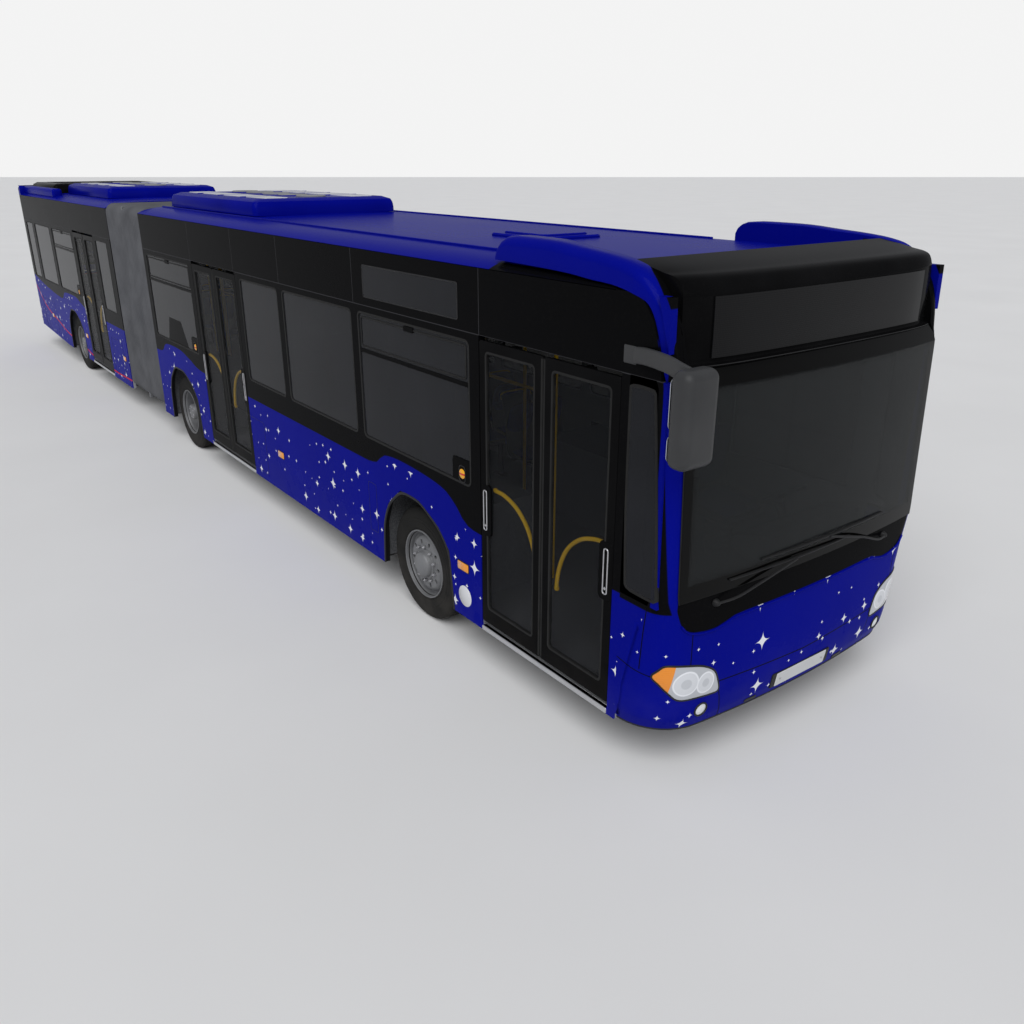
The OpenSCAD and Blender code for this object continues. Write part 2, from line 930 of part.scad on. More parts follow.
module hoop() {
    color(pale) {
        translate([pivot_x, 0, floor_low])
            cylinder(h = floor_t, r = platform_r);
        along([pivot_x - hoop_t / 2, pivot_x + hoop_t / 2]) {
            hoop_section(hoop_w - hoop_t, hoop_top - hoop_t);
            for (y = [-hoop_w, platform_r - 40])
                translate([y, floor_low])
                    square([hoop_w - platform_r + 40, floor_t]);
        }
    }
}

module bellows(x) {
    color(pale)
    along(x)
        hoop_section(hoop_w - bellows_t, hoop_top - bellows_t);
}

module bellows_front() {
    bellows([pivot_x + hoop_t / 2 + fit, front_end_x]);
}

module bellows_rear() {
    bellows([rear_end_x, pivot_x - hoop_t / 2 - fit]);
}

/* ---------- tail ---------- */

module tail_shell(z, t) {
    back = tail_x - tail_seam_x;
    translate([tail_x, 0, 0])
        upright(z)
            mirror([1, 0, 0])
                polygon(concat(
                    [[back, -half_w]], bowed(half_w, tail_r, tail_bow, 0), [[back, half_w]],
                    [[back, half_w - t]],
                    [for (p = bowed(half_w, tail_r, tail_bow, t)) [p[0], -p[1]]],
                    [[back, -half_w + t]]));
}

flap_y = 820;
flap_z = [560, 1380];
rear_window_y = 980;
rear_window_z = [1560, 2450];
tail_lamp_y = [940, 1130];
tail_lamp_z = [700, 1300];

module tail_box(y, z) {
    box([tail_x - cut, tail_x + 400], y, z);
}

module tail_wall() {
    color(blue)
    difference() {
        tail_shell([tail_z, roof_low], wall_t);
        tail_box([-flap_y, flap_y], flap_z);
        tail_box([-rear_window_y, rear_window_y], rear_window_z);
        both_sides()
            tail_box(tail_lamp_y, tail_lamp_z);
    }
}

module tail_lamps() {
    color("firebrick")
    both_sides()
        intersection() {
            tail_shell([tail_z, roof_low], wall_t);
            tail_box(tail_lamp_y, tail_lamp_z);
        }
}

module windows_rear() {
    color(glass) {
        panes_in_walls(right_rear_panes, [-half_w + 4, -half_w + 4 + glass_t]);
        panes_in_walls(left_rear_panes, [half_w - 4 - glass_t, half_w - 4]);
        intersection() {
            tail_shell([tail_z, roof_low], glass_t);
            tail_box([-rear_window_y, rear_window_y], rear_window_z);
        }
    }
}

// The engine flap fills its opening and hangs on three hinge barrels in the gap over it.
flap_gap = 8;
hinge = [tail_x + 4, flap_z[1] - flap_gap / 2];
hinge_r = flap_gap / 2 - fit;
module engine_flap() {
    color(blue) {
        intersection() {
            tail_shell([tail_z, roof_low], 40);
            tail_box([-flap_y + flap_gap, flap_y - flap_gap],
                [flap_z[0] + flap_gap, flap_z[1] - flap_gap]);
        }
        for (y = [-500, 0, 500])
            translate([hinge[0], y - 60, hinge[1]]) {
                rotate([-90, 0, 0])
                    cylinder(h = 120, r = hinge_r);
                translate([-2, 20, -flap_gap])
                    cube([16, 80, flap_gap]);
            }
    }
}

module engine() {
    color(steel)
    box([tail_x + 330, podium_x - 150], [-450, 450], [rail_z[1], podium_z - 130]);
}

/* ---------- doors ---------- */

// One column with its two arms, at a door's rear jamb; side = -1 puts it at the front jamb.
module door_column(x, side) {
    color(steel)
    translate([x - side * 2 * arm_a, column_y, 0]) {
        translate([0, 0, floor_z + fit])
            cylinder(h = door_top - floor_z - 2 * fit, r = column_r);
        for (z = [floor_z + 6, door_top - 6 - arm_t])
            difference() {
                union() {
                    translate([0, -12, z])
                        mirror([side < 0 ? 1 : 0, 0, 0])
                            cube([arm_a, 24, arm_t]);
                    translate([side * arm_a, 0, z])
                        cylinder(h = arm_t, r = 18);
                }
                translate([side * arm_a, 0, z - cut])
                    cylinder(h = arm_t + 2 * cut, r = pin_r + fit);
            }
    }
}

// One leaf: a frame with a thin pane, and the two pins that its arms carry.
module door_leaf(x, side) {
    frame = [70, 80];
    pane_z = [leaf_z[0] + 120, leaf_z[1] - 70];
    leaf_x = [-arm_a + leaf_edge, arm_a - leaf_end];
    pane_x = [leaf_x[0] + frame[0], leaf_x[1] - frame[1]];
    color(black)
    translate([x - side * arm_a, column_y, 0])
        mirror([side < 0 ? 1 : 0, 0, 0]) {
            difference() {
                box(leaf_x, [-leaf_off - leaf_t / 2, -leaf_off + leaf_t / 2], leaf_z);
                for (y = [[-leaf_off - leaf_t, -leaf_off - glass_t / 2],
                        [-leaf_off + glass_t / 2, -leaf_off + leaf_t]])
                    across(y)
                        polygon(rounded(pane_x, pane_z, 30));
            }
            for (z = [leaf_z[0], leaf_z[1] - 28])
                box([-20, 20], [-leaf_off + leaf_t / 2 - cut, 16], [z, z + 28]);
            translate([0, 0, floor_z + 6])
                cylinder(h = 30, r = pin_r);
            translate([0, 0, leaf_z[1] - 20])
                cylinder(h = door_top - 6 - leaf_z[1] + 20, r = pin_r);
        }
}

/* ---------- inside ---------- */

// A seat drawn from the side at x = 0, facing ahead: foot, cushion and back.
module seat_side() {
    polygon([
        [-120, 0], [-120, 350], [-200, 380], [-300, 1000], [-250, 1010], [-160, 470],
        [220, 480], [230, 400], [120, 350], [120, 0],
    ]);
}

module seat_row(x, y, z) {
    translate([x, 0, z])
        across(y)
            seat_side();
}

seat_y = [430, 1180];
seat_pitch = 780;
function seats_between(x_rear, x_front) =
    let (n = floor((x_front - x_rear - 620) / seat_pitch))
    [for (i = [0:n]) x_rear + 340 + i * seat_pitch];

box_ends_front = front_axle_x - arch_front[1] - box_gap - box_t;
box_ends_middle = middle_axle_x + arch_twin[0] + box_gap + box_t;
module seats_front() {
    color("slateblue") {
        for (x = seats_between(box_ends_middle + 30, box_ends_front))
            seat_row(x, seat_y, floor_z);
        for (x = seats_between(door_x[1] + door_w / 2 + 150, box_ends_front))
            seat_row(x, [-seat_y[1], -seat_y[0]], floor_z);
    }
}

box_front_rear = rear_axle_x + arch_twin[0] + box_gap + box_t;
box_back_rear = rear_axle_x - arch_twin[1] - box_gap - box_t;
module seats_rear() {
    color("slateblue") {
        for (x = seats_between(box_front_rear + 30, rear_end_x - 200))
            seat_row(x, seat_y, floor_z);
        for (y = [seat_y, [-seat_y[1], -seat_y[0]]])
            seat_row(podium_x - 900, y, podium_z);
        seat_row(podium_x - 900, [-380, 380], podium_z);
    }
}

pole_r = 16;
pole_y = 380;
module pole_run(list) {
    both_sides() {
        for (x = list)
            translate([x, pole_y, floor_z])
                cylinder(h = roof_z - wall_t - floor_z, r = pole_r);
        rod([min(list), pole_y, 1900], [max(list), pole_y, 1900], pole_r - 2);
    }
}

module poles_front() {
    color("gold")
    pole_run([at(2150), front_axle_x - 720, (front_axle_x + middle_axle_x) / 2 + 300,
        door_x[1] + door_w / 2 + 160, door_x[1] - door_w / 2 - 160, front_end_x + 250]);
}

module poles_rear() {
    color("gold")
    pole_run([rear_end_x - 250, door_x[2] + door_w / 2 + 160, door_x[2] - door_w / 2 - 160,
        rear_axle_x - 700]);
}

// The driver's place: platform, desk, steering wheel, and the partition behind.
cab_x = [at(1780), at(450)];
cab_y = [280, wall_in];
cab_z = floor_z + 180;
wheel_rake = -30;
hand_wheel_z = 640;
hub_t = 30;
module at_hand_wheel() {
    translate([at(880), (cab_y[0] + cab_y[1]) / 2, cab_z + hand_wheel_z])
        rotate([0, wheel_rake, 0])
            children();
}

module driver_cab() {
    column_len = hand_wheel_z / cos(wheel_rake) + 25;
    color(grey) {
        box(cab_x, cab_y, [floor_z, cab_z]);
        across([cab_y[0] - 180, wall_in - 90])
            polygon([
                [at(480), floor_z], [at(480), cab_z + 350], [at(760), cab_z + 480],
                [at(740), cab_z + 560], [at(480), cab_z + 640], [at(420), cab_z + 640],
                [at(420), floor_z],
            ]);
        at_hand_wheel()
            translate([0, 0, -column_len])
                cylinder(h = column_len - hub_t / 2 - fit, r = 35);
        box([cab_x[0], cab_x[0] + 30], cab_y, [floor_z, 2050]);
        box([cab_x[0], at(1250)], [cab_y[0], cab_y[0] + 25], [floor_z, 1350]);
    }
}

module steering_wheel() {
    color(black)
    at_hand_wheel() {
        rotate_extrude()
            translate([225, 0])
                circle(r = 15);
        for (a = [0, 120, 240])
            rotate([0, 0, a])
                rotate([0, 90, 0])
                    cylinder(h = 220, r = 11);
        cylinder(h = hub_t, r = 60, center = true);
    }
}

module driver_seat() {
    y = (cab_y[0] + cab_y[1]) / 2;
    color("slateblue")
    translate([at(1380), 0, cab_z])
        across([y - 240, y + 240])
            polygon([
                [-150, 0], [-150, 330], [-220, 400], [-320, 1100], [-230, 1120], [-140, 500],
                [240, 490], [250, 400], [150, 330], [150, 0],
            ]);
}

chassis_front();
tow_sockets();
floor_front();
wall_right_front();
wall_left_front();
roof_front();
nose();
windscreen();
dome();
windows_front();
roof_pod_front();
roof_fairings();
mirrors();
headlamps();
wipers();
driver_cab();
driver_seat();
seats_front();
poles_front();
front_axle();
middle_axle();
hoop();
bellows_front();
bellows_rear();
chassis_rear();
floor_rear();
wall_right_rear();
wall_left_rear();
tail_wall();
roof_rear();
windows_rear();
roof_pod_rear();
tail_cover();
tail_lamps();
engine();
rear_axle();
seats_rear();
poles_rear();
engine_flap();
steering_wheel();
knuckle_right();
knuckle_left();
mirror([0, 1, 0]) front_wheel();  // front_wheel_right
front_wheel();  // front_wheel_left
mirror([0, 1, 0]) twin_wheel(middle_axle_x);  // middle_wheel_right
twin_wheel(middle_axle_x);  // middle_wheel_left
mirror([0, 1, 0]) twin_wheel(rear_axle_x);  // rear_wheel_right
twin_wheel(rear_axle_x);  // rear_wheel_left
for (i = [0:2]) {
    door_column(door_x[i], -1);
    door_column(door_x[i], 1);
    door_leaf(door_x[i], -1);
    door_leaf(door_x[i], 1);
}
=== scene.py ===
# %% [markdown]
# # An articulated city bus
# This lesson dresses a bus whose solid parts already exist: walls, roof, wheels, doors and seats.
# Each step names a piece of the real bus, says how it could be made, and why this way was chosen.
# Everything is in metres: +X runs towards the front, +Y to the left, +Z up, ground at Z = 0.

# %% Load the solid parts
import math
import bmesh
import bpy
import numpy as np
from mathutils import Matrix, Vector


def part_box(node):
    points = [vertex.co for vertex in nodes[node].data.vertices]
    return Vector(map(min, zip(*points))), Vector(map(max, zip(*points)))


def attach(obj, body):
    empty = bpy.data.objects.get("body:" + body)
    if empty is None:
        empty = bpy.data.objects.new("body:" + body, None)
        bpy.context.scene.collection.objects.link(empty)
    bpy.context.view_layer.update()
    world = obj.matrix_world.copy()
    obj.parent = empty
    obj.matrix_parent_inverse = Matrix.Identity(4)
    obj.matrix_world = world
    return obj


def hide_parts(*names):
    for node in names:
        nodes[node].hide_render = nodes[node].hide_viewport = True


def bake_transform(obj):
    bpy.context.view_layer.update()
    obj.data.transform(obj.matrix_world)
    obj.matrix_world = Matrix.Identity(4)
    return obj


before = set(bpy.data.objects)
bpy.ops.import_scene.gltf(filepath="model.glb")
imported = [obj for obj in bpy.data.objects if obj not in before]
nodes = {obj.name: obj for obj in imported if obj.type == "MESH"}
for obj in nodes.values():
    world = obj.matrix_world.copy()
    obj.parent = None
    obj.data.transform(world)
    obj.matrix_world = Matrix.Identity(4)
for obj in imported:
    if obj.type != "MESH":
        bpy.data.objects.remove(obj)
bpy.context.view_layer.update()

# %% [markdown]
# ## Places that everything else is measured from
# A bus builder measures along the body from the front face. The solid parts give those places, so
# that a new piece lands where the old one was, and only shapes are worked out here.

# %% Places along the body
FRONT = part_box("nose")[1][0] - 0.012
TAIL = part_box("tail_wall")[0][0]
FRONT_END, REAR_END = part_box("roof_front")[0][0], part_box("roof_rear")[1][0]
PIVOT = (FRONT_END + REAR_END) / 2
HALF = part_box("wall_left_front")[1][1]
WALL = 0.05
ROOF, ROOF_LOW, SKIRT = 3.01, 2.93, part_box("wall_left_front")[0][2]
NOSE_SEAM = FRONT - 0.44
TAIL_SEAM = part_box("roof_rear")[0][0]


def at(back):
    """A place that many metres behind the front face."""
    return FRONT - back


def axle_of(wheel):
    """The middle of a wheel's box is its axle."""
    low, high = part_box(wheel)
    return (low[0] + high[0]) / 2, (low[2] + high[2]) / 2


AXLE = {k: axle_of(k + "_wheel_left") for k in ("front", "middle", "rear")}
DOORS = {1: AXLE["front"][0] + 1.615, 2: AXLE["middle"][0] + 1.735, 3: AXLE["rear"][0] + 1.735}
print("front", round(FRONT, 4), "tail", round(TAIL, 4), "pivot", round(PIVOT, 4), "doors", DOORS)

# %% [markdown]
# ## The camera
# The viewer stands ahead of the bus and to its right, a little above the roof line, with a lens of
# 31 mm. It comes first, because every piece is judged through it.

# %% Camera
eye = np.array([11.9045, -4.586, 3.567])
turn, dip = math.radians(143.3268), math.radians(21.6449)
camera = bpy.data.objects.new("camera", bpy.data.cameras.new("camera"))
bpy.context.scene.collection.objects.link(camera)
camera.location = eye
camera.rotation_euler = (math.pi / 2 - dip, 0, turn - math.pi / 2)
camera.data.lens, camera.data.sensor_width, camera.data.clip_end = 31.177, 36, 200
bpy.context.scene.camera = camera
print("camera stands", round(float(eye[0] - FRONT), 2), "m ahead of the front face")

# %% [markdown]
# ## Shapes as tables of points
# A surface is a table of points: rows run one way over it, columns the other. Neighbouring points
# make the faces. A whole bus can be made of such tables, so one small set of helpers turns them into
# meshes. A patch is the pair (points, faces), with an optional flat map for the paint.


# %% Faces of a table of points
def quads(rows, cols, wrap_rows=False, wrap_cols=False):
    """Corner numbers of every face of a table: (i, j), (i+1, j), (i+1, j+1), (i, j+1)."""
    i, j = np.meshgrid(
        np.arange(rows if wrap_rows else rows - 1), np.arange(cols if wrap_cols else cols - 1), indexing="ij")
    a, b = (i + 1) % rows, (j + 1) % cols
    return np.stack([i * cols + j, a * cols + j, a * cols + b, i * cols + b], -1).reshape(-1, 4)


def table(P, wrap_rows=False, wrap_cols=False, cap=False, flat=None):
    """A patch from points P[row, column]; cap closes the first and last row with one face each."""
    rows, cols = P.shape[:2]
    faces = [quads(rows, cols, wrap_rows, wrap_cols)]
    if cap:
        ring = np.arange(cols)
        faces += [ring[None, ::-1], (ring + (rows - 1) * cols)[None]]
    return P.reshape(-1, 3), faces, None if flat is None else flat.reshape(-1, 2)


def facing(P):
    """Unit normals of a table: the cross product of its row and column directions."""
    n = np.cross(np.gradient(P, axis=0), np.gradient(P, axis=1))
    return n / np.maximum(np.linalg.norm(n, axis=-1, keepdims=True), 1e-9)


def slab(P, thick, flat=None, keep=None):
    """A closed plate: the table P, the same table moved thick along its normals, and a rim round the
    plate and round each hole. keep says which cells of the table are there."""
    points, far = P.reshape(-1, 3), (P - facing(P) * thick).reshape(-1, 3)
    front = quads(*P.shape[:2])
    if keep is not None:
        front = front[keep.ravel()]
    used, front = np.unique(front, return_inverse=True)
    front, n = front.reshape(-1, 4), len(used)
    a, b = front.ravel(), np.roll(front, -1, 1).ravel()
    lone = ~np.isin(a * n + b, b * n + a)
    rim = np.stack([b, a, a + n, b + n], -1)[lone]
    return np.concatenate([points[used], far[used]]), [front, front[:, ::-1] + n, rim], \
        None if flat is None else np.tile(flat.reshape(-1, 2)[used], (2, 1))


def mirrored(patch):
    """The patch on the other side of the bus: Y changes sign and every face is turned round."""
    co, faces, flat = patch
    return co * [1, -1, 1], [f[:, ::-1] for f in faces], None if flat is None else flat * [-1, 1]


def sides(*patches):
    """Each patch and its mirror image."""
    return [q for p in patches for q in (p, mirrored(p))]


# %% [markdown]
# ## From patches to a piece
# A piece is one object that rides with one body of the bus. Points that fall together are merged, so
# seams and poles close, and faces are turned outwards. Edges sharper than 35 degrees stay crisp.


# %% Piece maker
made = []


def piece(name, groups, body, replaces=(), sharp=35, shells=True):
    """groups is a list of (material, [patches]); the result rides on body."""
    co, loops, sizes, slots, maps, start = [], [], [], [], [], 0
    for k, (_, patches) in enumerate(groups):
        for points, faces, flat in patches:
            co.append(points)
            maps.append(np.zeros((len(points), 2)) if flat is None else flat)
            for f in faces:
                loops.append((np.asarray(f) + start).ravel())
                sizes.append(np.full(len(f), f.shape[1]))
                slots.append(np.full(len(f), k))
            start += len(points)
    co, loops, sizes, slots, maps = map(np.concatenate, (co, loops, sizes, slots, maps))
    mesh = bpy.data.meshes.new(name)
    mesh.vertices.add(len(co))
    mesh.vertices.foreach_set("co", co.astype(np.float32).ravel())
    mesh.loops.add(len(loops))
    mesh.loops.foreach_set("vertex_index", loops.astype(np.int32))
    mesh.polygons.add(len(sizes))
    mesh.polygons.foreach_set("loop_start", np.concatenate([[0], np.cumsum(sizes)[:-1]]).astype(np.int32))
    mesh.polygons.foreach_set("material_index", slots.astype(np.int32))
    mesh.update(calc_edges=True)
    mesh.uv_layers.new(name="flat").data.foreach_set("uv", maps[loops].astype(np.float32).ravel())
    shape = bmesh.new()
    shape.from_mesh(mesh)
    bmesh.ops.remove_doubles(shape, verts=shape.verts, dist=2e-5)
    bmesh.ops.dissolve_degenerate(shape, edges=shape.edges, dist=1e-6)
    if shells:
        bmesh.ops.recalc_face_normals(shape, faces=shape.faces)
    shape.to_mesh(mesh)
    shape.free()
    mesh.polygons.foreach_set("use_smooth", np.ones(len(mesh.polygons), bool))
    mesh.set_sharp_from_angle(angle=math.radians(sharp))
    obj = bpy.data.objects.new(name.replace(" ", "_"), mesh)
    bpy.context.scene.collection.objects.link(obj)
    for material, _ in groups:
        mesh.materials.append(material)
    if body:
        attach(obj, body)
    if replaces:
        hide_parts(*replaces)
    made.append((name, len(mesh.polygons)))
    return obj


# %% [markdown]
# ## A few shapes that a bus is full of
# Tubes, turned wheels, flat plates with rounded corners, rubber frames and soft-edged boxes: each is
# one formula with two parameters.


# %% Tubes, rings and turned shapes
def spline(points, n):
    """A smooth curve through the points: cubic pieces whose slope at a point joins its neighbours."""
    p = np.asarray(points, float)
    t = np.linspace(0, len(p) - 1 - 1e-9, n)
    i = t.astype(int)
    f = (t - i)[:, None]
    q = np.vstack([2 * p[0] - p[1], p, 2 * p[-1] - p[-2]])
    a, b, c, d = q[i], q[i + 1], q[i + 2], q[i + 3]
    return 0.5 * (2 * b + (c - a) * f + (2 * a - 5 * b + 4 * c - d) * f**2 + (3 * b - a - 3 * c + d) * f**3)


def carried(path, section, closed=False, side=(0, 0, 1)):
    """A section (a, b) carried along a path: point + a * across + b * side, square to the path."""
    path = np.asarray(path, float)
    way = np.roll(path, -1, 0) - np.roll(path, 1, 0) if closed else np.gradient(path, axis=0)
    way /= np.linalg.norm(way, axis=1, keepdims=True)
    across = np.cross(way, np.asarray(side, float))
    across /= np.maximum(np.linalg.norm(across, axis=1, keepdims=True), 1e-9)
    upward = np.cross(across, way)
    return path[:, None] + section[None, :, :1] * across[:, None] + section[None, :, 1:] * upward[:, None]


def circle(r, n=12):
    a = np.linspace(0, 2 * np.pi, n, endpoint=False)
    return np.stack([r * np.cos(a), r * np.sin(a)], 1)


def tube(path, r, n=12, side=(0, 0, 1), closed=False):
    """A round bar of radius r along a path."""
    P = carried(path, circle(r, n), closed, side)
    return table(P, wrap_rows=closed, wrap_cols=True, cap=not closed)


def turned(profile, x, z, y, n=96, out=-1):
    """A profile of (radius, depth) turned about an axle along Y; depth runs inwards from y."""
    a = np.linspace(0, 2 * np.pi, n, endpoint=False)
    r, d = np.asarray(profile, float).T
    P = np.stack([x + r[:, None] * np.cos(a), y - out * d[:, None] + 0 * a, z + r[:, None] * np.sin(a)], -1)
    return table(P, wrap_cols=True)


# %% [markdown]
# A drawing is a closed line in two numbers, and a lay function stands it somewhere on the bus: on a
# side, on the nose or on the tail. Plates and frames are rings of that line at rising heights.


# %% Flat plates, frames and soft boxes
def round_rect(a, b, r, n=5):
    """Corner arcs of a rectangle over the spans a and b, as one closed line."""
    t = np.linspace(0, np.pi / 2, n)
    corner = np.stack([r * np.cos(t), r * np.sin(t)], 1)
    turns = [(a[1] - r, b[1] - r, 0), (a[0] + r, b[1] - r, 1), (a[0] + r, b[0] + r, 2),
             (a[1] - r, b[0] + r, 3)]
    rot = [np.array([[math.cos(k * np.pi / 2), -math.sin(k * np.pi / 2)],
                     [math.sin(k * np.pi / 2), math.cos(k * np.pi / 2)]]) for _, _, k in turns]
    return np.concatenate([corner @ m.T + [u, v] for (u, v, _), m in zip(turns, rot)])


def inset(line, d):
    """A closed line moved inwards by d along the bisectors of its corners."""
    way = np.roll(line, -1, 0) - np.roll(line, 1, 0)
    way /= np.maximum(np.linalg.norm(way, axis=1, keepdims=True), 1e-9)
    return line + d * np.stack([-way[:, 1], way[:, 0]], 1)


def on_side(line, y):
    """A drawing in X and Z stood on the side of the bus at y."""
    return np.stack([line[:, 0], np.full(len(line), y), line[:, 1]], -1)


def plate(line, low, high, lay=on_side, soft=0.002):
    """A flat plate with a softened outer edge: rings at low, high - soft and, inset, at high."""
    rise = math.copysign(soft, high - low)
    rings = np.stack([lay(line, low), lay(line, high - rise), lay(inset(line, soft), high)])
    return table(rings, wrap_cols=True, cap=True)


def rim_of(line, steps, lay=on_side):
    """A closed rim along a line: each step (d, h) is the line moved inwards by d, at height h."""
    return table(np.stack([lay(inset(line, d), h) for d, h in steps]), wrap_rows=True, wrap_cols=True)


def frame_of(line, width, low, high, lay=on_side, soft=0.003):
    """A frame round a closed line: outer wall, softened face of that width, inner wall."""
    rise = math.copysign(soft, high - low)
    return rim_of(line, [(0, low), (0, high - rise), (soft, high), (width - soft, high),
                         (width, high - rise), (width, low)], lay)


def soft_box(low, high, r, n=6):
    """A box with round edges: a ball of radius r is cut into eight and pushed to the corners."""
    low, high = np.asarray(low, float), np.asarray(high, float)
    r = min(r, *((high - low) / 2.001))
    v = np.concatenate([np.linspace(-90, 0, n), np.linspace(0, 90, n)])
    u = np.concatenate([np.linspace(k, k + 90, n) for k in (0, 90, 180, 270)])
    v, u = np.radians(np.meshgrid(v, u, indexing="ij"))
    d = np.stack([np.cos(v) * np.cos(u), np.cos(v) * np.sin(u), np.sin(v)], -1)
    quarter = np.repeat(np.arange(4), n)[None, :]
    sign = np.stack([np.where((quarter == 0) | (quarter == 3), 1, -1) + 0 * v,
                     np.where(quarter < 2, 1, -1) + 0 * v,
                     np.where(np.arange(2 * n)[:, None] < n, -1, 1) + 0 * v], -1)
    P = (low + high) / 2 + sign * ((high - low) / 2 - r) + d * r
    return table(P, wrap_cols=True, cap=True)

# %% [markdown]
# ## Paint is arithmetic
# A material here is a sum, a product or a comparison of fields: numbers that vary over the surface.
# Writing them as formulas keeps the node trees short to read, so a Field turns +, * and < into nodes.


# %% Fields
class Field:
    """A number that varies over the surface, kept as a node socket."""

    def __init__(self, socket):
        self.socket = socket

    def math(self, op, *others):
        node = self.socket.id_data.nodes.new("ShaderNodeMath")
        node.operation = op
        for k, v in enumerate((self, *others)):
            feed(node.inputs[k], v)
        return Field(node.outputs[0])

    def __add__(self, v):
        return self.math("ADD", v)

    def __sub__(self, v):
        return self.math("SUBTRACT", v)

    def __mul__(self, v):
        return self.math("MULTIPLY", v)

    def __abs__(self):
        return self.math("ABSOLUTE")

    def over(self, v, soft=0.002):
        """1 where the field is over v, 0 where it is under, with a soft step between."""
        return (self - v).span(-soft, soft)

    def span(self, low, high, a=0.0, b=1.0):
        """Carries low..high to a..b and holds the ends."""
        node = self.socket.id_data.nodes.new("ShaderNodeMapRange")
        for k, v in enumerate((self, low, high, a, b)):
            feed(node.inputs[k], v)
        return Field(node.outputs[0])

    def most(self, v):
        return self.math("MAXIMUM", v)

    def flip(self):
        return self.math("MULTIPLY_ADD", -1.0, 1.0)


def feed(socket, v):
    if isinstance(v, Field):
        socket.id_data.links.new(v.socket, socket)
    else:
        socket.default_value = v


def node(tree, kind, **inputs):
    """A node of that kind, with its inputs fed by name; _ in a name stands for a space."""
    n = tree.nodes.new("ShaderNode" + kind)
    for k, v in inputs.items():
        feed(n.inputs[k.replace("_", " ")], v)
    return n


def place(tree, kind="Object"):
    """Where a point of the surface lies: Object is its place on the bus, UV its flat map."""
    return Field(tree.nodes.new("ShaderNodeTexCoord").outputs[kind])


def split(v):
    n = node(v.socket.id_data, "SeparateXYZ", Vector=v)
    return [Field(s) for s in n.outputs]


def joined(tree, x, y, z=0.0):
    return Field(node(tree, "CombineXYZ", X=x, Y=y, Z=z).outputs[0])


def noise(v, scale, detail=3.0):
    return Field(node(v.socket.id_data, "TexNoise", Vector=v, Scale=scale, Detail=detail).outputs["Fac"])


def mix(tree, amount, a, b):
    n = tree.nodes.new("ShaderNodeMix")
    n.data_type = "RGBA"
    for k, v in ((0, amount), (6, a), (7, b)):
        feed(n.inputs[k], v if isinstance(v, Field) or k == 0 else (*v, 1.0))
    return Field(n.outputs[2])


def through(f, points, low, high):
    """Reads a drawn line: points (a, b) of a curve over low..high, with b between 0 and 2."""
    n = node(f.socket.id_data, "FloatCurve", Value=f.span(low, high))
    line = n.mapping.curves[0]
    spots = [((a - low) / (high - low), b / 2) for a, b in points]
    line.points[0].location, line.points[-1].location = spots[0], spots[-1]
    for s in spots[1:-1]:
        line.points.new(*s)
    for p in line.points:
        p.handle_type = "AUTO_CLAMPED"
    n.mapping.update()
    return Field(n.outputs[0]) * 2.0


# %% [markdown]
# An effect that many materials share, such as road dust or grain, is drawn once as a node group.


# %% Shared effects as node groups
def effect(name, inputs, outputs, draw):
    """A node group: draw(tree, fields) returns the fields that it puts out."""
    tree = bpy.data.node_groups.new(name, "ShaderNodeTree")
    for k, kind, value in inputs:
        s = tree.interface.new_socket(k, in_out="INPUT", socket_type="NodeSocket" + kind)
        if value is not None:
            s.default_value = value
    for k in outputs:
        tree.interface.new_socket(k, in_out="OUTPUT", socket_type="NodeSocketFloat")
    entry, leave = tree.nodes.new("NodeGroupInput"), tree.nodes.new("NodeGroupOutput")
    for k, f in zip(outputs, draw(tree, [Field(entry.outputs[i]) for i in range(len(inputs))])):
        feed(leave.inputs[k], f)
    return tree


def use(tree, group, **inputs):
    """Places a group in a material and returns its outputs as fields."""
    n = tree.nodes.new("ShaderNodeGroup")
    n.node_tree = group
    for k, v in inputs.items():
        feed(n.inputs[k], v)
    return [Field(s) for s in n.outputs if s.enabled]


# %% [markdown]
# ## The livery
# The bus is royal blue below and on the roof, with a black band between. The band's lower edge, the
# belt, rises over each wheel. White sparkles lie on the blue, and a thin red line falls and rises
# along the rear section. All of it is paint, so it is drawn from two numbers, the place along the
# body and the height, and one group serves walls, nose and tail alike.

# %% Livery group
BELT = [(-18.2, 1.42), (-17.81, 1.40), (-17.1, 1.31), (-16.49, 1.25), (-15.8, 1.20), (-15.48, 1.19),
        (-15.30, 1.24), (-15.21, 1.31), (-15.03, 1.335), (-14.38, 1.35), (-13.97, 1.29), (-13.59, 1.22),
        (-13.3, 1.195), (-11.5, 1.19), (-9.58, 1.19), (-9.35, 1.20), (-9.22, 1.27), (-9.10, 1.325),
        (-8.74, 1.34), (-8.18, 1.27), (-7.94, 1.21), (-7.69, 1.19), (-5.0, 1.19), (-3.60, 1.19),
        (-3.42, 1.21), (-3.25, 1.31), (-3.01, 1.33), (-2.70, 1.32), (-2.41, 1.29), (-2.27, 1.24),
        (-2.14, 1.15), (-2.05, 1.085), (-1.90, 1.07), (-1.2, 1.07), (-0.44, 1.19), (0.1, 1.15)]
SWOOSH = [(-18.2, 1.31), (-18.02, 1.26), (-17.83, 1.18), (-16.91, 0.79), (-16.25, 0.69), (-15.27, 0.54),
          (-14.0, 0.47),
          (-13.61, 0.425), (-12.12, 0.41), (-11.3, 0.43), (0.1, 0.45)]
PANEL_SEAMS = (-1.87, -3.65, -5.15, -6.32, -7.67, -9.58, -11.24, -12.21, -13.65, -15.5, -17.0)


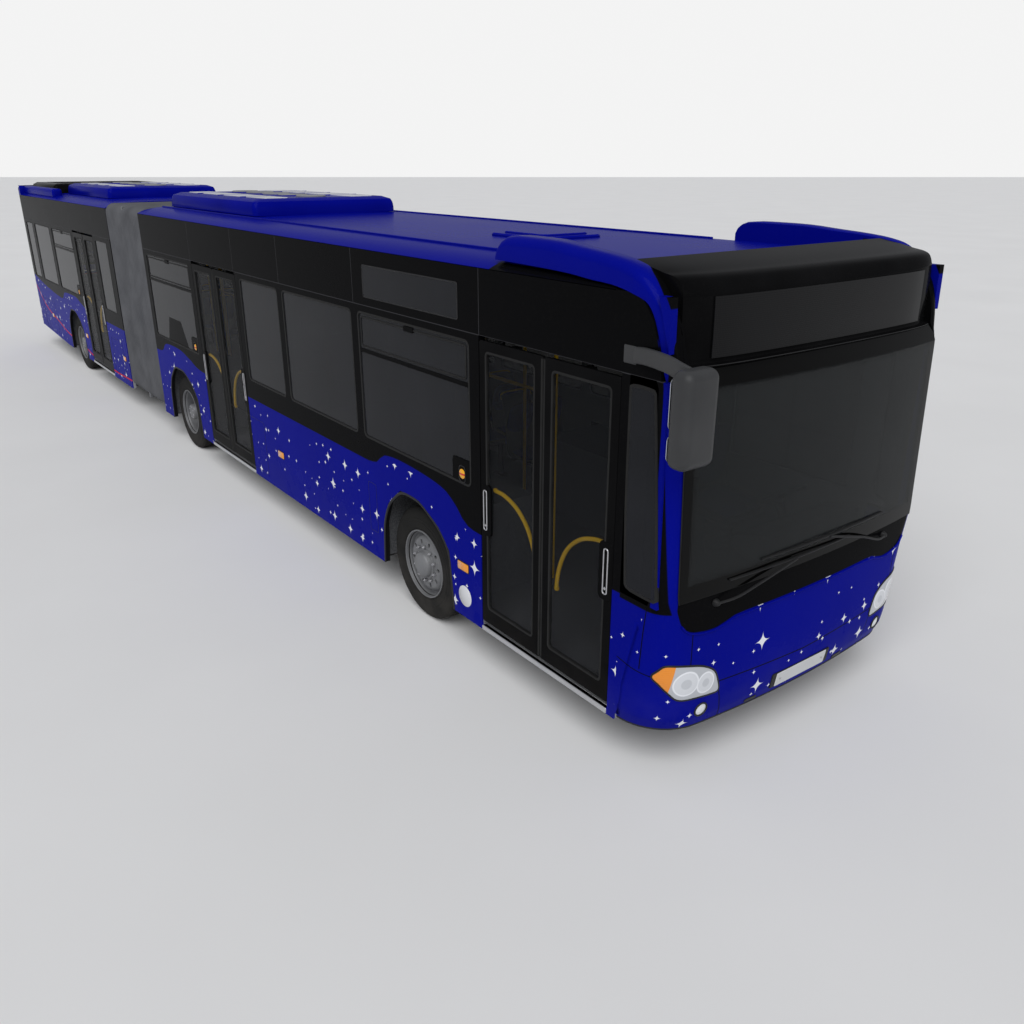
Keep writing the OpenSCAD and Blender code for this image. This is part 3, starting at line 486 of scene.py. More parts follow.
def sparkles(tree, along, height, cell, arm_low, arm_high):
    """One four-pointed sparkle per cell: sqrt(|a|) + sqrt(|b|) < sqrt(arm), about the cell's point."""
    grid = joined(tree, along * (1 / cell), height * (1 / cell))
    v = node(tree, "TexVoronoi", Vector=grid, Scale=1.0, Randomness=0.6)
    v.voronoi_dimensions = "2D"
    x0, z0, _ = split(Field(v.outputs["Position"]))
    x, z, _ = split(grid)
    luck, size, _ = split(Field(v.outputs["Color"]))
    reach = size.span(0.0, 1.0, arm_low / cell, arm_high / cell) * luck.over(0.42)
    star = abs(x - x0).math("POWER", 0.5) + abs(z - z0).math("POWER", 0.5)
    return (reach.math("POWER", 0.5) - star).span(0.0, 0.03)


def draw_livery(tree, f):
    along, height = f
    back = along - FRONT
    belt = through(back, BELT, -18.2, 0.1)
    black = height.over(belt) * height.over(2.944).flip()
    stars = sparkles(tree, along, height, 0.30, 0.035, 0.075).most(
        sparkles(tree, along + 3.7, height, 0.17, 0.012, 0.03)) * height.over(belt - 0.05).flip()
    stars = stars * height.over(2.0).flip()
    red = abs(height - through(back, SWOOSH, -18.2, 0.1)).over(0.012).flip() * along.over(REAR_END).flip()
    seams = abs(height - 2.5).over(0.0025).flip()
    for x in PANEL_SEAMS:
        seams = seams.most(abs(back - x).over(0.0025).flip() * height.over(2.5))
    return black, stars, red * black.flip(), seams * black


livery = effect("livery", [("Along", "Float", None), ("Height", "Float", None)],
                ("Black", "Sparkle", "Red line", "Seam"), draw_livery)


def draw_dust(tree, f):
    spot, low, high = f
    z = split(spot)[2]
    return (z.span(low, high, 1.0, 0.0) * noise(spot, 5.0, 4.0).span(0.3, 0.75) * 0.8
            + noise(spot, 60.0, 2.0).span(0.55, 0.8) * 0.12,)


dust = effect("road dust", [("Spot", "Vector", None), ("Low", "Float", 0.2), ("High", "Float", 0.9)],
              ("Dust",), draw_dust)


def draw_grain(tree, f):
    spot, size = f
    v = node(tree, "TexVoronoi", Vector=spot, Scale=size)
    return Field(v.outputs["Distance"]).span(0.0, 0.7), noise(spot, 2.2, 4.0)


grain = effect("moulded grain", [("Spot", "Vector", None), ("Size", "Float", 400.0)], ("Height", "Tone"),
               draw_grain)


def draw_weave(tree, f):
    spot, count = f
    x, y, z = split(spot)
    wave = [(c * count).math("SINE") for c in (x + y, z + x * 0.3)]
    return wave[0].math("MULTIPLY", wave[1]).span(-1.0, 1.0), (wave[0] + wave[1]).span(-1.6, 1.6)


weave = effect("woven cloth", [("Spot", "Vector", None), ("Count", "Float", 2500.0)], ("Height", "Tone"),
               draw_weave)
print("effects:", [g.name for g in bpy.data.node_groups])

# %% [markdown]
# ## Materials
# Every finish gets its real unevenness: paint has a faint ripple and dust low down, rubber a faint
# mottle, plastic is grained and cloth is woven. What is the same all over is set on the shader.


# %% Material maker
def finish(name, draw, rough=0.5, **shader):
    """draw(tree, spot) returns colour, roughness and relief fields; shader holds plain settings."""
    m = bpy.data.materials.new(name)
    m.use_nodes = True
    tree = m.node_tree
    skin = tree.nodes["Principled BSDF"]
    skin.inputs["Roughness"].default_value = rough
    skin.inputs["Specular IOR Level"].default_value = 0.22
    for k, v in shader.items():
        skin.inputs[k.replace("_", " ")].default_value = v
    answer = draw(tree, place(tree))
    feed(skin.inputs["Base Color"], answer["colour"])
    if "rough" in answer:
        feed(skin.inputs["Roughness"], answer["rough"])
    if "relief" in answer:
        bump = node(tree, "Bump", Height=answer["relief"], Distance=answer.get("depth", 0.001), Strength=1.0)
        feed(skin.inputs["Normal"], Field(bump.outputs[0]))
    for k in ("Alpha", "Metallic", "Emission Color"):
        if k in answer:
            feed(skin.inputs[k], answer[k])
    return m


def z_near_wheels(spot):
    """1 beside and above each wheel, where the back of the wall is black underseal."""
    x, y, z = split(spot)
    near = None
    for ax, _ in AXLE.values():
        one = abs(x - ax).over(0.72).flip()
        near = one if near is None else near.most(one)
    return near * z.over(1.12).flip()


BLACK, BLUES = (0.0035, 0.0035, 0.004), ((0.0012, 0.0035, 0.22), (0.002, 0.005, 0.27))
ROOF_BLUE = 3.0


def painted(tree, along, height, spot, black=None, lining=None, extra=None, bare=None):
    """Blue paint under the livery, with dust near the road; lining is the cabin side of a wall."""
    mask, star, red, seam = use(tree, livery, Along=along, Height=height)
    if black is not None:
        mask, star = black, star * black.flip()
    if extra is not None:
        seam = extra
    if bare is not None:
        mask, seam = mask * bare.flip(), seam * bare.flip()
    tone = noise(spot, 1.3, 2.0)
    c = mix(tree, mask, mix(tree, tone, *BLUES), BLACK)
    c = mix(tree, seam, c, (0.004, 0.004, 0.006) if extra is not None else (0.05, 0.05, 0.055))
    c = mix(tree, star, c, (0.82, 0.83, 0.88))
    c = mix(tree, red, c, (0.62, 0.008, 0.012))
    dirt = use(tree, dust, Spot=spot, Low=0.3, High=0.75)[0]
    c = mix(tree, dirt * 0.10, c, (0.16, 0.15, 0.14))
    rough = dirt * 0.25 + tone * 0.05 + 0.22
    relief = noise(spot, 55.0, 1.0) * 0.05 - seam * 2.0
    if lining is not None:
        well = z_near_wheels(spot)
        c = mix(tree, lining, c, (0.30, 0.31, 0.32))
        c = mix(tree, well * abs(split(spot)[1]).over(HALF - 0.006).flip(), c, (0.012, 0.012, 0.012))
        rough = rough + lining * 0.35
    return {"colour": c, "rough": rough, "relief": relief, "depth": 0.001}


def blackened(tree, spot, mask):
    """The roof's blue, black where the mask is 1: the height is fixed above the band and the stars."""
    answer = painted(tree, split(spot)[0], ROOF_BLUE, spot)
    answer["colour"] = mix(tree, mask, answer["colour"], BLACK)
    return answer


PILLAR = [(2.4, 0.81), (2.49, 0.805), (2.60, 0.778), (2.71, 0.744), (2.76, 0.73), (2.83, 0.698),
          (2.89, 0.646),
          (2.92, 0.558), (2.95, 0.40)]
PILLAR_END = [(2.4, 1.0), (2.55, 1.0), (2.62, 0.885), (2.68, 0.876), (2.735, 0.867), (2.778, 0.857),
              (2.846, 0.835), (2.932, 0.785), (2.95, 0.772)]


def wall_paint(tree, spot):
    """The livery, with the pillar blue between two curves: its foot behind and its edge ahead."""
    x, y, z = split(spot)
    foot, edge = (through(z, line, 2.4, 2.95) + at(1.0) for line in (PILLAR, PILLAR_END))
    pillar = x.over(foot) * x.over(edge).flip()
    inner = abs(y).over(HALF - 0.012).flip() * x.over(at(0.3)).flip() * z.over(2.445).flip()
    return painted(tree, x, z, spot, lining=inner, bare=pillar)


BROW = [(0.0, 1.045), (0.5, 1.045), (0.70, 1.040), (0.79, 1.015), (0.88, 0.998), (0.98, 1.005),
        (1.07, 1.03), (1.12, 1.07), (1.15, 1.13), (1.20, 1.30)]
NOSE_SEAMS = [((0.0, 0.585), (0.79, 0.612)), ((0.789, 0.54), (0.737, 0.31)), ((1.037, 0.79), (1.037, 1.02)),
              ((1.272, 0.72), (1.60, 0.775)), ((1.355, 0.76), (1.355, 1.17))]


def stroke(u, v, a, b, width):
    """1 near the straight line from a to b: the distance to its nearest point is under width."""
    d = (b[0] - a[0], b[1] - a[1])
    long = d[0] ** 2 + d[1] ** 2
    t = ((u - a[0]) * (d[0] / long) + (v - a[1]) * (d[1] / long)).span(0.0, 1.0)
    p, q = u - a[0] - t * d[0], v - a[1] - t * d[1]
    return (p * p + q * q).over(width**2, width**2 * 0.4).flip()


def nose_paint(tree, spot):
    """The brow under the windscreen and the band beside the side pane are black, the pillar is blue."""
    x, y, z = split(spot)
    arc = split(place(tree, "UV"))[0]
    brow = z.over(through(abs(y), BROW, 0.0, 1.2)) * abs(y).over(1.17).flip()
    flank = z.over(1.165) * abs(y).over(1.17) * (x + (z - 1.5) * 0.08).over(at(0.118)).flip()
    lines = stroke(abs(arc), z, *NOSE_SEAMS[0], 0.004)
    for ends in NOSE_SEAMS[1:]:
        lines = lines.most(stroke(abs(arc), z, *ends, 0.0035))
    return painted(tree, arc + FRONT, z, spot, black=brow.most(flank), extra=lines)


COAT = {"Coat_Weight": 0.03, "Coat_Roughness": 0.1, "Specular_IOR_Level": 0.006}
wall_coat = finish("wall paint", wall_paint, **COAT)
nose_coat = finish("nose paint", nose_paint, **COAT)
for n in ("wall_right_front", "wall_left_front", "wall_right_rear", "wall_left_rear"):
    nodes[n].data.materials.clear()
    nodes[n].data.materials.append(wall_coat)
print("painted walls: 4")

# %% [markdown]
# The other finishes need only two close colours that wander over the surface, a roughness that
# wanders with them, and sometimes a relief: grain for moulded plastic, ripples for rolled metal.


# %% Plain finishes
def mottled(name, a, b, size=3.0, rough=0.5, spread=0.12, relief=0.0, dirty=0.0, **shader):
    """Two colours mixed by a soft noise; dirty adds road dust near the ground."""
    def draw(tree, spot):
        tone = noise(spot, size, 4.0).span(0.3, 0.7)
        answer = {"colour": mix(tree, tone, a, b),
                  "rough": tone.span(0.0, 1.0, rough - spread / 2, rough + spread / 2)}
        if dirty:
            dirt = use(tree, dust, Spot=spot, Low=0.25, High=0.9)[0]
            answer["colour"] = mix(tree, dirt * dirty, answer["colour"], (0.17, 0.155, 0.14))
            answer["rough"] = answer["rough"] + dirt * 0.15
        if relief:
            answer.update(relief=noise(spot, size * 15, 2.0), depth=relief)
        return answer
    return finish(name, draw, rough, **shader)


def grained(name, a, b, rough=0.6, size=420.0, depth=0.0004, **shader):
    """Moulded plastic: cells of grain with a slow change of tone."""
    def draw(tree, spot):
        height, tone = use(tree, grain, Spot=spot, Size=size)
        return {"colour": mix(tree, tone.span(0.3, 0.7), a, b), "relief": height, "depth": depth,
                "rough": tone.span(0.3, 0.7, rough - 0.06, rough + 0.06)}
    return finish(name, draw, rough, **shader)


def cloth(name, a, b, **shader):
    def draw(tree, spot):
        height, tone = use(tree, weave, Spot=spot, Count=1500.0)
        fleck = noise(spot, 26.0, 2.0).span(0.54, 0.6)
        return {"colour": mix(tree, tone * 0.35 + fleck * 0.6, a, b), "relief": height, "depth": 0.0004}
    return finish(name, draw, 0.9, **shader)


blue = mottled("blue panel", *BLUES, 1.3, 0.24, 0.08, **COAT)
gloss = mottled("black panel", (0.003, 0.003, 0.0033), (0.006, 0.006, 0.0065), 2.0, 0.16, 0.05, dirty=0.06,
                **COAT)
satin = grained("black plastic", (0.012, 0.012, 0.013), (0.020, 0.020, 0.021), 0.5)
rubber = mottled("window rubber", (0.008, 0.008, 0.008), (0.016, 0.016, 0.016), 9.0, 0.65, relief=0.0002)
glass = mottled("tinted glass", (0.016, 0.017, 0.020), (0.021, 0.022, 0.026), 1.5, 0.06, 0.02, Alpha=0.88,
                Specular_IOR_Level=0.07)
door_glass = mottled("door glass", (0.012, 0.013, 0.015), (0.016, 0.017, 0.020), 1.5, 0.06, 0.02, Alpha=0.30,
                     Specular_IOR_Level=0.07)
tyre_skin = mottled("tyre rubber", (0.005, 0.005, 0.005), (0.011, 0.011, 0.010), 7.0, 0.82, dirty=0.22,
                    relief=0.0004, Specular_IOR_Level=0.22)
rim_paint = mottled("rim paint", (0.15, 0.153, 0.162), (0.215, 0.22, 0.228), 6.0, 0.42, dirty=0.22,
                    Metallic=0.2)
dark_rim = mottled("wheel centre", (0.045, 0.046, 0.05), (0.075, 0.076, 0.08), 6.0, 0.5, dirty=0.35,
                   Metallic=0.4)
steel = mottled("bright steel", (0.50, 0.50, 0.52), (0.62, 0.62, 0.64), 14.0, 0.3, Metallic=0.9)
alloy = mottled("sill alloy", (0.52, 0.53, 0.55), (0.66, 0.67, 0.69), 5.0, 0.36, dirty=0.25, Metallic=0.8)
under = mottled("underbody paint", (0.018, 0.018, 0.019), (0.034, 0.032, 0.030), 4.0, 0.72, dirty=0.6,
                relief=0.0008)
cast = mottled("cast metal", (0.055, 0.055, 0.057), (0.095, 0.09, 0.085), 8.0, 0.66, dirty=0.5,
               relief=0.0006, Metallic=0.4)
lining = grained("lining panel", (0.34, 0.345, 0.35), (0.42, 0.425, 0.43), 0.6, 260.0)
cab_grey = grained("cab plastic", (0.05, 0.051, 0.055), (0.075, 0.076, 0.08), 0.62)
shell_grey = grained("seat shell", (0.07, 0.073, 0.085), (0.10, 0.104, 0.115), 0.55, 500.0)
fabric = cloth("seat cloth", (0.018, 0.032, 0.16), (0.06, 0.10, 0.34))
yellow = mottled("yellow rail", (0.85, 0.52, 0.012), (0.95, 0.60, 0.02), 8.0, 0.34, Coat_Weight=0.4)
bellow_cloth = mottled("bellows cloth", (0.075, 0.077, 0.085), (0.115, 0.118, 0.128), 3.0, 0.85, dirty=0.12,
                       relief=0.0006)
fabric_hoop = mottled("hoop alloy", (0.14, 0.145, 0.155), (0.19, 0.195, 0.205), 4.0, 0.5, Metallic=0.3)
white = mottled("white panel", (0.62, 0.63, 0.66), (0.72, 0.73, 0.76), 2.0, 0.35, Coat_Weight=0.3)
fan_grey = grained("fan plastic", (0.22, 0.225, 0.23), (0.30, 0.305, 0.31), 0.5)
mirror_glass = mottled("mirror glass", (0.55, 0.57, 0.60), (0.60, 0.62, 0.65), 3.0, 0.04, 0.02, Metallic=1.0)
amber = mottled("amber lens", (0.80, 0.26, 0.01), (0.88, 0.34, 0.02), 30.0, 0.12, Coat_Weight=1.0)
red_lens = mottled("red lens", (0.42, 0.008, 0.008), (0.52, 0.014, 0.012), 30.0, 0.12, Coat_Weight=1.0)
pearl = mottled("lamp lens", (0.66, 0.68, 0.70), (0.80, 0.82, 0.84), 14.0, 0.06, 0.03, Coat_Weight=1.0)


def dress(material, *names):
    for n in names:
        nodes[n].data.materials.clear()
        nodes[n].data.materials.append(material)


dress(under, "chassis_front", "chassis_rear", "tow_sockets")
dress(cast, "front_axle", "middle_axle", "rear_axle", "knuckle_left", "knuckle_right", "engine")


def floor_paint(tree, spot):
    """Speckled vinyl above, dark sprayed wax below 0.352 m."""
    x, y, z = split(spot)
    fleck = noise(spot, 160.0, 2.0).span(0.42, 0.62)
    top = mix(tree, fleck, (0.075, 0.078, 0.085), (0.16, 0.165, 0.175))
    wax = mix(tree, noise(spot, 5.0, 4.0), (0.014, 0.0135, 0.013), (0.032, 0.029, 0.027))
    below = z.over(0.352).flip()
    return {"colour": mix(tree, below, top, wax), "rough": fleck * 0.1 + 0.6, "relief": fleck,
            "depth": 0.0003}


dress(finish("floor and underside", floor_paint, 0.65), "floor_front", "floor_rear")
dress(cab_grey, "driver_cab")
dress(cast, *[n for n in nodes if n.endswith("_column")])
dress(yellow, "poles_front", "poles_rear")
dress(fabric_hoop, "hoop")
print("materials:", len(bpy.data.materials))

# %% [markdown]
# ## The roof
# A bus roof is one pressed skin with rolled shoulders. Carrying its cross section straight along each
# body gives it, with a raised water rail along both edges. The section could be a box, but the rolled
# shoulder is what catches the light above the windows.


# %% Roof skins
def roof_section(n=41):
    """Outer line: |y| / HALF to the eighth power lets the height fall only near the shoulder."""
    s = np.sin(np.linspace(-np.pi / 2, np.pi / 2, n))
    z = ROOF - (ROOF - ROOF_LOW) * (0.12 * s**2 + 0.88 * np.abs(s)**9)
    top = np.stack([s * HALF, z], 1)
    return np.concatenate([top, [[HALF, ROOF_LOW - 0.004], [HALF - 0.05, ROOF_LOW - 0.004]],
                           top[::-1][2:-2] * [0.96, 1] - [0, 0.04],
                           [[-HALF + 0.05, ROOF_LOW - 0.004], [-HALF, ROOF_LOW - 0.004]]])


def along_x(section, x0, x1, steps=2):
    """A closed section in Y and Z carried from x0 to x1, with closed ends."""
    x = np.linspace(x0, x1, steps)
    P = np.stack(np.broadcast_arrays(x[:, None], section[None, :, 0], section[None, :, 1]), -1)
    return table(P, wrap_cols=True, cap=True)


def flat_pad(low, high, r, rise, soft=0.006):
    """A raised pad on a roof: rounded outline over X and Y, from height low to high."""
    lay = lambda line, z: np.stack([line[:, 0], line[:, 1], np.full(len(line), z)], -1)
    return plate(round_rect((low[0], high[0]), (low[1], high[1]), r), *rise, lay, soft)


hatch_x = AXLE["front"][0] + 0.03
hatch = [flat_pad((hatch_x - 0.35, -0.31), (hatch_x + 0.35, 0.31), 0.08, (3.0, 3.032), 0.012),
         flat_pad((hatch_x - 0.27, -0.23), (hatch_x + 0.27, 0.23), 0.06, (3.03, 3.045), 0.008)]
rail = soft_box((FRONT_END + 0.02, 0.93, 2.985), (7.08, 0.955, 3.014), 0.006)


def roof_paint(tree, spot):
    """Blue, with the wall's black carried over the roof's edge below each shoulder."""
    x, y, _ = split(spot)
    return blackened(tree, spot, abs(y).over(1.18) * x.over(at(1.75)))


roof_coat = finish("roof paint", roof_paint, **COAT)
piece("roof front", [(roof_coat, [along_x(roof_section(), FRONT_END, at(0.58))] + hatch + sides(rail))],
      "front_section", ["roof_front"])
piece("roof rear", [(blue, [along_x(roof_section(), TAIL_SEAM, REAR_END)])],
      "rear_section", ["roof_rear"])

# %% [markdown]
# ## Ceilings
# A lining hides the roof's ribs from inside. It falls towards the sides in a cove, where a light strip
# runs along it.


# %% Ceilings with light strips
def ceiling(name, body, x0, x1):
    """A lining a little below the roof: coves at the sides, a light strip along each cove."""
    y = np.linspace(-1.2, 1.2, 41)
    z = 2.875 - 0.16 * np.clip((abs(y) - 0.86) / 0.34, 0, 1) ** 1.8
    P = np.stack(np.broadcast_arrays(np.linspace(x0, x1, 25)[:, None], y[None], z[None]), -1)
    strips = [soft_box((a + 0.03, 0.70, 2.862), (a + (x1 - x0) / 6 - 0.03, 0.80, 2.880), 0.008, 3)
              for a in x0 + (x1 - x0) / 6 * np.arange(6)]
    joints = [soft_box((a - 0.004, -0.68, 2.868), (a + 0.004, 0.68, 2.874), 0.002, 2)
              for a in x0 + (x1 - x0) / 6 * np.arange(1, 6)]
    piece(name, [(lining, [slab(P, 0.012)]), (white, sides(*strips)), (rubber, joints)], body)


ceiling("front ceiling", "front_section", FRONT_END + 0.02, at(0.62))
ceiling("rear ceiling", "rear_section", TAIL_SEAM + 0.02, REAR_END - 0.02)


# %% [markdown]
# ## Roof pods
# The cooling plant sits under a low cover on each section. Its sides lean in and its shoulder is round,
# so it is a stack of rounded outlines, each a little smaller than the one below.


# %% Roof pods
def hip(low, high, z0, z1, slope, n=7, power=3.0):
    """A cover over X and Y whose sides lean in by slope and whose shoulder is round."""
    t = np.linspace(0, 1, n)
    lean = slope * (1 - (1 - t**power)**(1 / power))
    lean, t = np.append(lean, slope + 0.03), np.append(t, 1.0)
    lines = [round_rect((low[0] + d, high[0] - d), (low[1] + d, high[1] - d), 0.06) for d in lean]
    P = np.stack([np.column_stack([q, np.full(len(q), z0 + (z1 - z0) * k)]) for q, k in zip(lines, t)])
    return table(P, wrap_cols=True, cap=True)


def fan(x, y, z, r):
    """A round fan guard: a turned rim and seven straight blades of the grille."""
    a = np.linspace(0, 2 * np.pi, 33)[:-1]
    profile = np.array([(r, 0), (r, 0.012), (r - 0.015, 0.018), (r - 0.03, 0.012), (r - 0.03, 0.003),
                        (0.001, 0.003)])
    P = np.stack([x + profile[:, :1] * np.cos(a), y + profile[:, :1] * np.sin(a),
                  z + profile[:, 1:] + 0 * a], -1)
    bars = []
    for k in np.linspace(-0.75, 0.75, 7):
        w = (r - 0.02) * math.sqrt(1 - k * k)
        bars.append(soft_box((x + k * r - 0.008, y - w, z + 0.002), (x + k * r + 0.008, y + w, z + 0.012),
                             0.004, 3))
    return [table(P, wrap_cols=True, cap=True)] + bars


def pod(name, node, body):
    """A cover the size of its solid, with raised seams, two pale strips, five fans and side slats."""
    (x0, y0, z0), (x1, y1, z1) = map(np.array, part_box(node))
    cover = hip((x0, y0), (x1, y1), z0, z1 - 0.02, 0.10)
    seams = [soft_box((x - 0.012, y0 + 0.13, z0), (x + 0.012, y1 - 0.13, z1 - 0.012), 0.01, 4)
             for x in np.linspace(x0, x1, 5)[1:-1]]
    strips = [flat_pad((x0 + 0.16, y - 0.14), (x1 - 0.16, y + 0.14), 0.04, (z1 - 0.026, z1 - 0.014), 0.004)
              for y in (-0.52, 0.52)]
    fans = [q for x in np.linspace(x0 + 0.42, x1 - 0.42, 5) for q in fan(x, 0.0, z1 - 0.022, 0.17)]
    slats = [soft_box((x, y - 0.006, z0 + 0.05), (x + 0.30, y + 0.006, z0 + 0.062), 0.004, 3)
             for y in (0.012 - y1, y1 - 0.012) for x in (x0 + 0.3, x0 + 1.2, x1 - 0.7)]
    return piece(name, [(blue, [cover] + seams), (white, strips), (fan_grey, fans + slats)], body,
                 [node])


pod("front roof pod", "roof_pod_front", "front_section")
pod("rear roof pod", "roof_pod_rear", "rear_section")
print("roof pieces:", made)

# %% [markdown]
# ## The nose
# The front is one moulded shell: nearly flat, bowed a little, with corners that are wide at the bumper
# and tight at the windscreen. At each height its plan is a straight flank, an arc of radius r and a
# shallow parabola, so the shell is one table of height and place along that plan.


# %% Nose plan
def nose_sizes(z):
    """Face, corner radius and half width at a height, then where the arc meets the face."""
    face = FRONT + np.interp(z, [.31, .40, .50, .66, 1.05, 1.25, 2.46, 2.60, 2.93],
                             [-.045, -.012, 0, 0, -.010, -.015, -.055, -.118, -.118])
    r = np.interp(z, [.31, .60, 1.0, 1.25, 2.6], [.36, .34, .22, .12, .11])
    half = HALF - np.interp(z, [.31, .42], [.03, 0])
    y = half - r + r * math.sin(CORNER)
    bow = math.tan(CORNER) / 2 * y
    return face, r, half, y, bow, face - bow - r * math.cos(CORNER)


CORNER = math.radians(6)


def on_nose(arc, z, lift=0.0):
    """The point that far from the middle round the nose (right side), raised by lift."""
    arc, z = np.broadcast_arrays(np.asarray(arc, float), np.asarray(z, float))
    face, r, half, y, bow, centre = nose_sizes(z)
    turned_by = np.clip((arc - y) / r + CORNER, CORNER, np.pi / 2)
    straight = np.maximum(arc - y - r * (np.pi / 2 - CORNER), 0)
    corner = arc > y
    px = np.where(corner, centre + (r + lift) * np.cos(turned_by) - straight,
                  face - bow * (arc / y) ** 2 + lift)
    py = np.where(corner, half - r + (r + lift) * np.sin(turned_by), arc)
    widen = (HALF - half) * np.clip(straight / np.maximum(centre - NOSE_SEAM, 1e-6), 0, 1)
    return np.stack([px, -py - widen, z], -1)


def on_front(y, z, lift=0.0):
    """on_nose for both sides: y is positive to the left."""
    P = on_nose(abs(y), z, lift)
    P[..., 1] *= np.where(y < 0, 1.0, -1.0)
    return P


def nose_arc(z, x):
    """How far from the middle the flank reaches the place x."""
    face, r, half, y, bow, centre = nose_sizes(z)
    return y + r * (np.pi / 2 - CORNER) + np.maximum(centre - x, 0)


rows = np.concatenate([np.linspace(SKIRT, 0.42, 6), np.linspace(0.46, 1.19, 19), [1.25, 1.252],
                       np.linspace(1.3, 2.40, 12), [2.44, 2.46, 2.50]])[:, None]
face_end = nose_sizes(rows)[3]
stops = [0 * face_end, face_end, nose_arc(rows, 9.9), nose_arc(rows, at(0.27)), nose_arc(rows, at(0.41)),
         nose_arc(rows, NOSE_SEAM)]
counts = (22, 12, 4, 4, 3)
arcs = np.concatenate([a + (b - a) * np.linspace(0, 1, n, endpoint=False)[None]
                       for a, b, n in zip(stops, stops[1:], counts)] + [stops[-1]], 1)
shell = on_nose(arcs, rows)
half_map = np.stack([arcs, np.broadcast_to(rows, arcs.shape)], -1)
shell = np.concatenate([shell[:, :0:-1], shell * [1, -1, 1]], 1)
shell_map = np.concatenate([half_map[:, :0:-1], half_map * [-1, 1]], 1)
middle_z = (rows[1:, 0] + rows[:-1, 0])[:, None] / 2
k = np.abs(np.arange(shell.shape[1] - 1) + 0.5 - (shell.shape[1] - 1) / 2)[None]
screen_hole = (k < 22) & (middle_z > 1.25) & (middle_z < 2.46)
side_hole = (k > 38) & (k < 42) & (middle_z > 1.25) & (middle_z < 2.44)
nose_shell = slab(shell[:, ::-1], 0.028, shell_map[:, ::-1], ~(screen_hole | side_hole)[:, ::-1])

brow_y = np.linspace(-1.13, 1.13, 81)
brow_z = np.interp(abs(brow_y), *np.array(BROW).T) - 0.012
ledge = on_front(brow_y, brow_z, 0.002)
under_lip = on_nose(np.linspace(0, 1.45, 60), SKIRT + 0.012, -0.006)
lip = np.concatenate([under_lip[::-1], under_lip[1:] * [1, -1, 1]])
piece("nose shell", [(nose_coat, [nose_shell]), (blue, [tube(ledge, 0.0075, 8)]),
                     (satin, [tube(lip, 0.010, 8)])],
      "front_section", ["nose"], sharp=50)

# %% [markdown]
# ## Windscreen
# A bus windscreen is one bonded sheet with a black ceramic border. The sheet follows the same plan as
# the nose, a few millimetres outside it, and the border is part of its paint.


# %% Windscreen
def screen_paint(tree, spot):
    x, y, z = split(spot)
    border = abs(y).over(1.115, 0.004).most(z.over(1.335, 0.004).flip()).most(z.over(2.455, 0.004))
    dots = abs(y).over(1.095, 0.02).most(z.over(1.355, 0.02).flip()).most(z.over(2.435, 0.02))
    v = node(tree, "TexVoronoi", Vector=joined(tree, y * 170.0, z * 170.0), Scale=1.0, Randomness=0.0)
    border = border.most(dots * Field(v.outputs["Distance"]).over(0.36, 0.05).flip())
    tone = noise(spot, 1.2, 2.0)
    return {"colour": mix(tree, border, mix(tree, tone, (0.018, 0.020, 0.021), (0.024, 0.026, 0.027)),
                          (0.002, 0.002, 0.002)),
            "rough": tone * 0.03 + 0.04, "Alpha": border.span(0.0, 1.0, 0.66, 1.0)}


screen_glass = finish("bonded windscreen", screen_paint, 0.05, Specular_IOR_Level=0.1)
z = np.linspace(1.235, 2.560, 28)[:, None]
share = np.linspace(-1, 1, 49)[None]
sheet = on_front(share * (nose_sizes(z)[3] + 0.004), z, 0.006)
seal_line = np.concatenate([sheet[0], sheet[1:, -1], sheet[-1, -2::-1], sheet[-2:0:-1, 0]])
seal = tube(seal_line, 0.006, 6, (1, 0.02, 0.01), True)
piece("windscreen sheet", [(screen_glass, [slab(sheet, 0.007)]), (rubber, [seal])],
      "front_section", ["windscreen"])

# %% [markdown]
# ## The forehead and its display
# Over the windscreen a black glass forehead holds the destination display, blank here. Its section is
# a smooth curve from the windscreen's top edge back to the roof, carried across the bus and bowed.

# %% Forehead
brow_line = spline([(at(0.060), 2.566), (at(0.090), 2.572), (at(0.110), 2.592), (at(0.112), 2.72),
                    (at(0.117), 2.90),
                    (at(0.125), 2.955), (at(0.148), 2.998), (at(0.19), 3.018), (at(0.26), 3.030),
                    (at(0.40), 3.052),
                    (at(0.58), 3.078)], 44)
section = np.concatenate([brow_line, [[at(0.58), 3.0], [at(0.58), 2.93], [at(0.30), 2.90], [at(0.20), 2.51]]])


def across(section, spans):
    """A section in X and Z carried across the bus; its front falls back gently, then fast at the sides."""
    y = np.linspace(*spans)
    u = abs(y[:, None]) / 1.165
    share = np.clip((section[None, :, 0] - at(0.58)) / 0.32, 0, 1)
    x = section[None, :, 0] - (0.035 * u**2 + 0.05 * u**8) * share
    return np.stack(np.broadcast_arrays(x, y[:, None], section[None, :, 1]), -1)


shown = (brow_line[:, 1] > 2.590) & (brow_line[:, 1] < 2.93)
window = across(brow_line[shown], (-0.985, 0.985, 33)) + [0.004, 0, 0]
edge = across(brow_line[:3], (-1.1, 1.1, 33))[:, 1] + [0, 0, 0.001]


def display_paint(tree, spot):
    x, y, z = split(spot)
    v = node(tree, "TexVoronoi", Vector=joined(tree, y * 90.0, z * 90.0), Scale=1.0, Randomness=0.0)
    lamps = Field(v.outputs["Distance"]).over(0.3, 0.1).flip()
    tone = noise(spot, 2.0, 3.0)
    return {"colour": mix(tree, lamps, mix(tree, tone, (0.005, 0.005, 0.006), (0.008, 0.008, 0.009)),
                          (0.012, 0.012, 0.012)), "rough": tone * 0.08 + 0.08}


